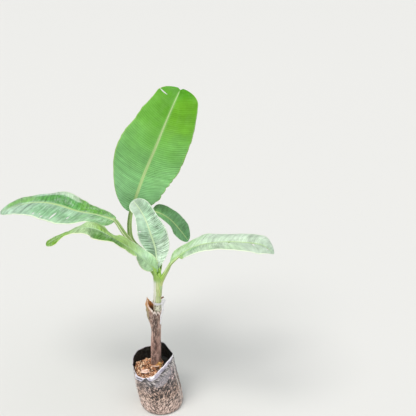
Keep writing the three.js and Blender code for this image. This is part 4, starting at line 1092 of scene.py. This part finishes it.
    # a smoother patch at the right front where the film's painted sheen shows purple-grey
    px = m.math("MULTIPLY", m.math("SUBTRACT", u, 0.835), 11.0)
    pz = m.math("MULTIPLY", m.math("SUBTRACT", z, 0.150), 48.0)
    patch = m.math("ADD", m.math("MULTIPLY", px, px), m.math("MULTIPLY", m.math("ADD", pz, m.math("MULTIPLY", px, -1.1)), m.math("ADD", pz, m.math("MULTIPLY", px, -1.1))))
    patch = m.range(m.math("ADD", patch, m.math("MULTIPLY", m.math("SUBTRACT", f2, 0.5), 0.8)), 0.5, 1.1, 0.75, 0.0)
    base = m.mix(patch, base, m.mix(m.range(f0, 0.4, 0.6), (0.30, 0.275, 0.30), (0.60, 0.545, 0.585)))
    # puckers across the film just under the turned rim, drawn as stripes of painted highlight and painted shade
    puck = m.noise(m.join(m.math("MULTIPLY", m.math("ADD", u, m.math("MULTIPLY", w, 0.35)), 92.0), m.math("MULTIPLY", w, 9.0), 0.0), 1.0, 2.0, 0.55)
    near = m.math("MULTIPLY", m.range(w, 0.80, 0.86), m.range(u, 0.68, 0.72))
    stripes = m.ramp(puck, [(0.42, (0.045, 0.042, 0.048)), (0.49, (0.24, 0.220, 0.225)), (0.56, (0.88, 0.80, 0.78))])
    base = m.mix(m.math("MULTIPLY", near, 0.8), base, stripes)
    # painted shadow as a dark line beneath the turned rim, then the turned rim's pale face, painted sheen of the film
    under = m.math("MULTIPLY", m.range(w, 0.925, 0.94), m.range(u, 0.66, 0.70))
    base = m.mix(m.math("MULTIPLY", under, 0.8), base, (0.05, 0.048, 0.055))
    lip = m.math("MULTIPLY", m.range(w, 0.998, 1.004), m.math("ADD", 0.60, m.math("MULTIPLY", m.range(u, 0.55, 0.60), 0.40)))
    sheen = m.noise(m.join(m.math("MULTIPLY", u, 34.0), m.math("MULTIPLY", w, 26.0), 0.0), 1.0, 2.0, 0.5)
    shine = m.mix(m.range(sheen, 0.36, 0.62), (0.34, 0.31, 0.38), (0.62, 0.58, 0.66))
    shine = m.mix(m.range(u, 0.60, 0.70, 1.0, 0.0), shine, m.mix(m.range(sheen, 0.40, 0.60), (0.16, 0.15, 0.17), (0.56, 0.53, 0.58)))
    # painted highlight where it turns over, painted shade in a dark fold within the flap
    shine = m.mix(m.range(w, 1.022, 1.038, 0.85, 0.0), shine, (0.95, 0.91, 0.97))
    fold = m.math("ABSOLUTE", m.math("SUBTRACT", w, 1.060))
    fold = m.math("MULTIPLY", m.range(fold, 0.009, 0.018, 0.9, 0.0), m.math("MULTIPLY", m.range(u, 0.618, 0.632), m.range(u, 0.672, 0.686, 1.0, 0.0)))
    shine = m.mix(fold, shine, (0.045, 0.045, 0.055))
    # the flap's pale lavender face: painted sheen of the film
    flap_face = m.math("MULTIPLY", m.math("SUBTRACT", 1.0, fold), m.math("MULTIPLY", m.range(u, 0.59, 0.61), m.range(u, 0.685, 0.70, 1.0, 0.0)))
    shine = m.mix(m.math("MULTIPLY", flap_face, 0.7), shine, (0.74, 0.70, 0.80))
    # a white painted highlight where the film turns over at the front
    white = m.range(m.math("ABSOLUTE", m.math("SUBTRACT", u, 0.753)), 0.010, 0.020, 0.9, 0.0)
    shine = m.mix(m.math("MULTIPLY", white, m.range(w, 1.05, 1.07, 1.0, 0.0)), shine, (1.0, 1.0, 0.98))
    base = m.mix(lip, base, shine)
    # light catches the crease at the left side
    for at, amount in ((0.552, 1.0), (0.966, 0.6)):
        side = m.math("ABSOLUTE", m.math("SUBTRACT", u, m.math("ADD", at, m.math("MULTIPLY", m.math("SUBTRACT", f3, 0.5), 0.03))))
        base = m.mix(m.math("MULTIPLY", m.range(side, 0.004, 0.013, amount, 0.0), m.math("MULTIPLY", m.range(w, 0.985, 0.995, 1.0, 0.0), m.range(f0, 0.36, 0.50, 0.6, 1.0))), base, (1.0, 0.90, 0.83))
    n1 = m.bump(f0, 0.7, 0.0016)
    n2 = m.bump(f1, 0.4, 0.0007, n1)
    mat = m.finish(base, m.range(pat, 0.42, 0.6, 0.36, 0.75), n2, 0.55)
    m = Nodes("bag_inner_film")
    obj = m.coord("Object")
    f0 = m.noise(obj, 90.0, 3.0, 0.6)
    _, w, _ = m.split(m.coord("UV"))
    dark = m.mix(m.range(f0, 0.4, 0.65), (0.012, 0.012, 0.011), (0.045, 0.045, 0.040))
    # the cut edge catches the light
    inner = m.finish(m.mix(m.math("MULTIPLY", m.range(w, 0.990, 1.0), 0.85), dark, (0.55, 0.55, 0.57)), m.range(f0, 0.3, 0.7, 0.5, 0.7), m.bump(f0, 0.4, 0.0012), 0.3)
    build("bag_visual", v, f, [mat, inner], uv=uv, replaces=["bag"], face_mat=inside)
    # second layer of film inside the back right rim
    n = 90
    a = np.linspace(math.radians(2), math.radians(84), n)
    rimz = around(RIM_Z, np.degrees(a)) - 6.5 - 3 * np.sin(np.linspace(0, math.pi, n)) + 0.8 * vnoise(np.arange(n) / 6.0, 0, 0, 58)
    q = np.linspace(0, 1, 14)[:, None]
    Zs = 158 + q * (rimz - 158)
    inset = 5.4 + 3.0 * np.sin(np.linspace(0, math.pi, n))[None, :] ** 0.7 * smooth(0.2, 1, q) + 0.7 * vnoise(np.arange(n)[None, :] / 5.0, q * 2, 0, 59)
    Rs = bag_radius(Zs) - 0.6 - inset
    out = np.stack([BAG_LEAN * Zs + Rs * np.cos(a), Rs * np.sin(a), Zs], -1)
    inn = np.stack([BAG_LEAN * Zs + (Rs - 0.5) * np.cos(a), (Rs - 0.5) * np.sin(a), Zs], -1)
    v, f, _ = shell("fold", out, inn, None, None, False)
    build("bag_inner_fold", v, outward(v, f), inner)


# ---------------------------------------------------------------- soil
def soil_height(x, y):
    """top of the soil in millimetres"""
    cxs = BAG_LEAN * 162
    ang = np.degrees(np.arctan2(y, x - cxs))
    r = np.hypot(x - cxs, y)
    edge = around(SOIL_Z, ang)
    near = np.hypot(x - SEAT[0], y - SEAT[1])
    side = smooth(0.0, 0.9, (x - SEAT[0]) / np.maximum(near, 1.0))
    f = smooth(0, 1, (near - 23) / (47 - 27 * side))
    z = 174.0 * (1 - f) + edge * f
    z = z + 9.0 * np.exp(-(((x + 5) / 11.0) ** 2 + ((y + 17) / 9.0) ** 2))
    z = z + 2.4 * vnoise(x / 13.0, y / 13.0, 0, 61) + 1.6 * vnoise(x / 5.0, y / 5.0, 0, 62) + 0.7 * vnoise(x / 2.4, y / 2.4, 0, 63)
    return z - 1.5 * smooth(62, 74, r)


def soil_pieces():
    na, nr = 150, 44
    th = np.linspace(0, 2 * math.pi, na, endpoint=False)
    q = np.linspace(0.02, 1, nr)
    cxs = BAG_LEAN * 162
    rad = float(bag_radius(162.0)) - 5.2
    X = cxs + rad * q[:, None] * np.cos(th)
    Y = rad * q[:, None] * np.sin(th)
    Z = soil_height(X, Y)
    top = np.stack([X, Y, Z], -1)
    # side and underside
    down = []
    for zz in (150.0, 142.0):
        rr = rad - 1.0
        down.append(np.stack([BAG_LEAN * zz + rr * np.cos(th), rr * np.sin(th), np.minimum(Z[-1] - 2, zz)], -1))
    rings = np.concatenate([top, np.array(down)], 0)
    v, f = closed_sweep(rings * MM)
    m = Nodes("soil")
    obj = m.coord("Object")
    x, y, z = m.split(obj)
    a = m.noise(obj, 330.0, 4.0, 0.65)
    b = m.noise(obj, 70.0, 2.0, 0.6)
    base = m.ramp(a, [(0.34, (0.035, 0.015, 0.009)), (0.47, (0.16, 0.070, 0.036)), (0.6, (0.40, 0.20, 0.11)), (0.74, (0.66, 0.42, 0.26))])
    base = m.mix(m.range(b, 0.55, 0.75, 0.0, 0.3), base, (0.50, 0.28, 0.19))
    # painted sunlight: a golden patch on the lump of soil at the stem's right front
    gx = m.math("ABSOLUTE", m.math("ADD", x, 0.007))
    gy = m.math("ABSOLUTE", m.math("ADD", y, 0.018))
    painted_sun_patch = m.math("MULTIPLY", m.range(gx, 0.006, 0.014, 1.0, 0.0), m.range(gy, 0.006, 0.014, 1.0, 0.0))
    base = m.mix(m.math("MULTIPLY", painted_sun_patch, 0.6), base, (0.66, 0.34, 0.09))
    mat = m.finish(base, 0.9, m.bump(a, 0.7, 0.002), 0.2)
    build("soil_visual", v, outward(v, f), mat, replaces=["soil"])
    # crumbs
    rng = np.random.default_rng(7)
    ico_v, ico_f = icosphere()
    vs, fs, o = [], [], 0
    count = 0
    tone = []
    while count < 1500:
        a = rng.uniform(0, 2 * math.pi)
        r = rad * math.sqrt(rng.uniform(0, 1)) * 0.985
        x, y = cxs + r * math.cos(a), r * math.sin(a)
        if math.hypot(x - SEAT[0], y - SEAT[1]) < 21.5:
            continue
        size = 1.0 + 2.0 * rng.uniform() ** 1.7
        if count % 11 == 0:
            size = rng.uniform(3.0, 5.2)
        p = ico_v * size * rng.uniform(0.72, 1.2, 3)
        p = p * (1 + 0.24 * vnoise(ico_v[:, 0:1] * 1.6 + count * 3.1, ico_v[:, 1:2] * 1.6, ico_v[:, 2:3] * 1.6, 65))
        t, w = rng.uniform(0, 2 * math.pi), rng.uniform(-0.7, 0.7)
        rot = np.array([[math.cos(t), -math.sin(t), 0], [math.sin(t), math.cos(t), 0], [0, 0, 1]]) @ np.array([[1, 0, 0], [0, math.cos(w), -math.sin(w)], [0, math.sin(w), math.cos(w)]])
        z = float(soil_height(np.array(x), np.array(y)))
        vs.append(p @ rot.T + [x, y, z + size * rng.uniform(-0.1, 0.55)])
        tone.append(np.full((len(ico_v), 2), rng.uniform()))
        fs.append(ico_f + o)
        o += len(ico_v)
        count += 1
    m = Nodes("soil_crumb")
    obj = m.coord("Object")
    x, y, z = m.split(obj)
    a = m.noise(obj, 190.0, 3.0, 0.6)
    c = m.noise(obj, 800.0, 2.0, 0.6)
    # each clod has its own tone, from wet dark brown to dry and pale
    own, _, _ = m.split(m.coord("UV"))
    base = m.ramp(own, [(0.0, (0.030, 0.014, 0.009)), (0.22, (0.12, 0.055, 0.032)), (0.40, (0.48, 0.205, 0.103)), (0.62, (0.86, 0.425, 0.225)), (0.92, (1.0, 0.80, 0.58))])
    base = m.mix(m.range(a, 0.45, 0.62, 0.0, 0.3), base, (0.66, 0.40, 0.23))
    base = m.mix(m.range(c, 0.5, 0.7, 0.0, 0.5), base, (0.22, 0.095, 0.045))
    # painted sunlight on the crumbs of the same lump
    gx = m.math("ABSOLUTE", m.math("ADD", x, 0.007))
    gy = m.math("ABSOLUTE", m.math("ADD", y, 0.018))
    painted_sun_patch = m.math("MULTIPLY", m.range(gx, 0.006, 0.014, 1.0, 0.0), m.range(gy, 0.006, 0.014, 1.0, 0.0))
    base = m.mix(m.math("MULTIPLY", painted_sun_patch, 0.7), base, (0.80, 0.46, 0.14))
    mat = m.finish(base, 0.88, m.bump(c, 0.5, 0.0008), 0.2)
    build("soil_crumbs", np.vstack(vs) * MM, np.vstack(fs), mat, uv=np.vstack(tone))
    # scrap of dead leaf and a dry strip on the soil
    m = Nodes("litter")
    obj = m.coord("Object")
    a = m.noise(m.join(m.math("MULTIPLY", m.split(obj)[0], 90.0), m.math("MULTIPLY", m.split(obj)[1], 380.0), 0.0), 1.0, 3.0)
    base = m.mix(m.range(a, 0.38, 0.62), (0.62, 0.38, 0.29), (0.92, 0.70, 0.60))
    mat = m.finish(base, 0.75, m.bump(a, 0.4, 0.001), 0.3)
    parts = []
    for pts, w, th_, cr in (
        ([[-70, -34, 2.5], [-62, -37, 6.0], [-52, -39, 6.8], [-42, -37, 7.5], [-32, -36, 5.0]], 21, 0.6, 1.6),
        ([[-32, -27, 5.0], [-24, -31, 8.5], [-14, -32, 8.0], [-4, -29, 7.6]], 5.0, 0.7, 0.5),
        ([[-40, -58, 4], [-33, -62, 7], [-26, -61, 6]], 7.0, 0.6, 0.6),
        ([[-76, -10, 2], [-70, -20, 3.5], [-66, -30, 2.5]], 4.0, 0.5, 0.4),
        ([[10, 40, 2], [-4, 50, 4], [-20, 52, 3]], 6.0, 0.5, 0.7),
    ):
        p = along(np.array(pts, float), np.linspace(0, 1, 34))
        zz = soil_height(p[:, 0], p[:, 1])
        p[:, 2] += float(zz.mean())
        d = p[-1] - p[0]
        sd = np.array([-d[1], d[0], 0.15 * abs(d[0])])
        wd = w * np.interp(np.linspace(0, 1, 34), [0, 0.12, 0.5, 0.85, 1], [0.35, 0.8, 1, 0.75, 0.3])
        parts.append(closed_sweep(strip(p, sd, wd, th_, cr, int(80 + w)) * MM))
    v, f = joined(parts)
    build("litter", v, f, mat)


def icosphere():
    p = (1 + 5 ** 0.5) / 2
    v = [(-1, p, 0), (1, p, 0), (-1, -p, 0), (1, -p, 0), (0, -1, p), (0, 1, p), (0, -1, -p), (0, 1, -p), (p, 0, -1), (p, 0, 1), (-p, 0, -1), (-p, 0, 1)]
    f = [(0, 11, 5), (0, 5, 1), (0, 1, 7), (0, 7, 10), (0, 10, 11), (1, 5, 9), (5, 11, 4), (11, 10, 2), (10, 7, 6), (7, 1, 8), (3, 9, 4), (3, 4, 2), (3, 2, 6), (3, 6, 8), (3, 8, 9), (4, 9, 5), (2, 4, 11), (6, 2, 10), (8, 6, 7), (9, 8, 1)]
    v = [np.array(q, float) / np.linalg.norm(q) for q in v]
    mid, out = {}, []

    def half(a, b):
        k = (min(a, b), max(a, b))
        if k not in mid:
            q = v[a] + v[b]
            v.append(q / np.linalg.norm(q))
            mid[k] = len(v) - 1
        return mid[k]

    for a, b, c in f:
        ab, bc, ca = half(a, b), half(b, c), half(c, a)
        out += [(a, ab, ca), (b, bc, ab), (c, ca, bc), (ab, bc, ca)]
    return np.array(v), np.array(out)


# ---------------------------------------------------------------- camera, stage, light
scene = bpy.context.scene
cam = bpy.data.cameras.new("camera")
cam.sensor_width = 36.0
cam.lens = 600.0 / 416.0 * 36.0
cam_ob = bpy.data.objects.new("camera", cam)
cam_ob.location = (0.1695, -1.8345, 1.46)
cam_ob.rotation_euler = (math.radians(90 - 20.6), 0, 0)
scene.collection.objects.link(cam_ob)
scene.camera = cam_ob

floor_mesh = bpy.data.meshes.new("floor")
floor_mesh.from_pydata([(-90, -90, 0), (90, -90, 0), (90, 90, 0), (-90, 90, 0)], [], [(0, 1, 2, 3)])
floor = bpy.data.objects.new("floor", floor_mesh)
scene.collection.objects.link(floor)
fm = Nodes("floor")
floor_mesh.materials.append(fm.finish((0.66, 0.65, 0.63), 0.95, None, 0.1))

world = bpy.data.worlds.new("world")
world.use_nodes = True
world.node_tree.nodes["Background"].inputs[0].default_value = (0.90, 0.95, 1.0, 1)
world.node_tree.nodes["Background"].inputs[1].default_value = 0.42
scene.world = world
scene.view_settings.view_transform = "Standard"


def sun(name, azimuth, elevation, strength, spread, color=(1, 1, 1)):
    """broad soft light from a compass side, azimuth 0 being behind the camera and 90 to its right"""
    li = bpy.data.lights.new(name, "SUN")
    li.energy = strength
    li.angle = math.radians(spread)
    li.color = color
    ob = bpy.data.objects.new(name, li)
    a, e = math.radians(azimuth), math.radians(elevation)
    d = Vector((-math.sin(a) * math.cos(e), math.cos(a) * math.cos(e), -math.sin(e)))
    ob.rotation_euler = d.to_track_quat("-Z", "Y").to_euler()
    scene.collection.objects.link(ob)


sun("key", -38, 62, 2.5, 34, (1.0, 0.985, 0.95))
sun("top", 60, 74, 0.8, 60, (0.95, 0.98, 1.0))


# ---------------------------------------------------------------- leaves
mats = {}
mats["leaf_right"] = (
    leaf_top("right_top", [(0.28, 0.48, 0.16), (0.40, 0.57, 0.34), (0.48, 0.61, 0.45), (0.49, 0.61, 0.46), (0.48, 0.60, 0.45), (0.45, 0.59, 0.44)], 74,
             bloom=0.45, bloom_col=(0.60, 0.70, 0.58), margin=(0.80, 0.86, 0.66), seed=1.0, contrast=1.15, lines=0.55, edge_at=0.955,
             zones=[(-0.1, 0.17, 0.55, 1.1, (0.34, 0.54, 0.14), 0.7), (0.05, 0.34, 0.55, 0.80, (0.25, 0.50, 0.22), 0.5), (0.34, 0.66, 0.56, 1.0, (0.38, 0.54, 0.30), 0.5)]),
    leaf_under("right_under", (0.20, 0.36, 0.16), 74, 1.0))
mats["leaf_middle"] = (
    leaf_top("middle_top", [(0.28, 0.48, 0.24), (0.34, 0.53, 0.34), (0.37, 0.55, 0.38), (0.42, 0.58, 0.42), (0.54, 0.64, 0.52)], 46,
             bloom=0.45, bloom_col=(0.56, 0.68, 0.56), margin=(0.80, 0.86, 0.72), seed=2.0, contrast=1.9, centre=(0.52, 0.66, 0.44), lines=1.0, edge_at=0.945, calm=(0.56, 0.84, 1.0, 0.30), still=(0.40, 0.52, 0.45, 1.0),
             zones=[(0.06, 0.40, 0.55, 1.05, (0.60, 0.68, 0.60), 0.55), (0.55, 0.95, 0.52, 0.95, (0.36, 0.60, 0.36), 0.5)]),
    leaf_under("middle_under", (0.20, 0.36, 0.18), 46, 2.0))
# left front blade: the dark zone on the near half (0.38 to 0.66) is painted shade where that half hangs down out of the
# light
mats["leaf_left_front"] = (
    leaf_top("left_front_top", [(0.42, 0.64, 0.42), (0.50, 0.71, 0.50), (0.37, 0.57, 0.20), (0.275, 0.49, 0.068), (0.265, 0.48, 0.068), (0.335, 0.51, 0.17), (0.165, 0.35, 0.014), (0.125, 0.29, 0.008)], 78, spec=0.28,
             bloom=0.3, bloom_col=(0.50, 0.66, 0.42), margin=(0.80, 0.84, 0.54), seed=3.0, contrast=1.4, lines=0.6, edge_at=0.952, calm=(0.22, 0.36, 0.35, 1.0), centre=(0.36, 0.56, 0.25),
             zones=[(-0.1, 0.13, 0.52, 1.1, (0.36, 0.60, 0.26), 0.65), (-0.1, 0.20, -0.1, 0.48, (0.38, 0.60, 0.27), 0.6), (0.38, 0.66, 0.0, 0.47, (0.085, 0.22, 0.038), 0.94), (0.22, 0.60, 0.55, 1.0, (0.30, 0.48, 0.12), 0.6), (0.62, 0.78, 0.0, 1.0, (0.42, 0.57, 0.34), 0.6)]),
    leaf_under("left_front_under", (0.10, 0.26, 0.06), 78, 3.0))
# left back blade: the dark zones beside the midrib on the far half (0.30 to 0.96) are painted shade in its valley, and
# the pale zone at that half's outer edge (0.25 to 0.62) is painted light where it faces the sky
mats["leaf_left_back"] = (
    leaf_top("left_back_top", [(0.21, 0.42, 0.15), (0.24, 0.45, 0.22), (0.265, 0.46, 0.26), (0.31, 0.49, 0.33), (0.35, 0.52, 0.37), (0.33, 0.50, 0.33)], 84,
             bloom=0.4, bloom_col=(0.44, 0.58, 0.45), margin=(0.74, 0.82, 0.60), seed=4.0, contrast=1.6, lines=0.8, edge_at=0.957,
             zones=[(0.30, 0.72, 0.52, 0.82, (0.075, 0.30, 0.04), 0.94), (0.72, 0.96, 0.57, 0.98, (0.15, 0.38, 0.06), 0.85),
                    (0.25, 0.62, 0.84, 1.1, (0.46, 0.57, 0.40), 0.75), (-0.1, 0.34, 0.54, 1.05, (0.115, 0.35, 0.028), 0.95), (0.30, 0.66, 0.10, 0.45, (0.20, 0.43, 0.20), 0.6)]),
    leaf_under("left_back_under", (0.18, 0.35, 0.15), 84, 4.0))
# tall blade: the colours turn yellow-green towards the tip and the zone at 0.62 to 0.90 adds more; both are painted
# light shining through the upper blade
mats["leaf_tall"] = (
    leaf_top("tall_top", [(0.235, 0.475, 0.225), (0.205, 0.455, 0.175), (0.178, 0.435, 0.125), (0.152, 0.415, 0.060), (0.108, 0.350, 0.017), (0.064, 0.278, 0.003)], 74, spec=0.16,
             zones=[(0.62, 0.90, 0.52, 0.98, (0.155, 0.395, 0.018), 0.5)],
             bloom=0.10, bloom_col=(0.28, 0.50, 0.18), margin=(0.30, 0.50, 0.13), seed=5.0, contrast=0.75, centre=(0.30, 0.55, 0.18), edge_at=0.978,
             calm=(0.30, 0.55, 1.0, 0.30), tip_margin=(0.46, 0.44, 0.12)),
    leaf_under("tall_under", (0.18, 0.38, 0.10), 74, 5.0))
mats["leaf_rear"] = (
    leaf_top("rear_top", [(0.14, 0.34, 0.09), (0.15, 0.37, 0.13), (0.14, 0.35, 0.13), (0.11, 0.31, 0.11)], 44,
             bloom=0.35, bloom_col=(0.22, 0.42, 0.22), margin=(0.50, 0.66, 0.42), seed=6.0, contrast=1.2, centre=(0.34, 0.52, 0.28), lines=0.5),
    leaf_under("rear_under", (0.11, 0.25, 0.09), 44, 6.0))
stalk = stalk_mat("stalk", (0.56, 0.64, 0.33), (0.40, 0.56, 0.22), (0.46, 0.62, 0.28), 0.50, 0.58)
RIBS = {
    "leaf_middle": stalk_mat("stalk_pale", (0.56, 0.64, 0.33), (0.60, 0.74, 0.46), (0.72, 0.84, 0.60), 0.50, 0.58, 3.0, 0.1, (0.80, 0.88, 0.70)),
    "leaf_right": stalk_mat("stalk_bright", (0.56, 0.64, 0.30), (0.46, 0.62, 0.20), (0.46, 0.62, 0.34), 0.50, 0.56, 6.0, 0.15),
    "leaf_left_front": stalk_mat("stalk_leafy", (0.58, 0.66, 0.36), (0.44, 0.64, 0.36), (0.44, 0.64, 0.38), 0.50, 0.56, 9.0, 0.02, (0.46, 0.66, 0.40)),
    "leaf_left_back": stalk_mat("stalk_olive", (0.24, 0.30, 0.11), (0.40, 0.56, 0.22), (0.46, 0.62, 0.28), 0.60, 0.70, 12.0, 0.55),
    "leaf_tall": stalk_mat("stalk_dark", (0.17, 0.22, 0.075), (0.40, 0.56, 0.22), (0.46, 0.62, 0.28), 0.64, 0.74, 15.0, 0.55),
}
for i, (name, L) in enumerate(LEAVES.items()):
    blades = [n for n in L["nodes"] if not n.endswith("_stalk")]
    blade(name, L, list(mats[name]), blades, i + 1)
    rib(name + "_rib", L, RIBS.get(name, stalk), i + 1, [n for n in L["nodes"] if n.endswith("_stalk")])


soil_pieces()
bag_piece()
stem_piece()
dry_sheath_piece()
tie_pieces()
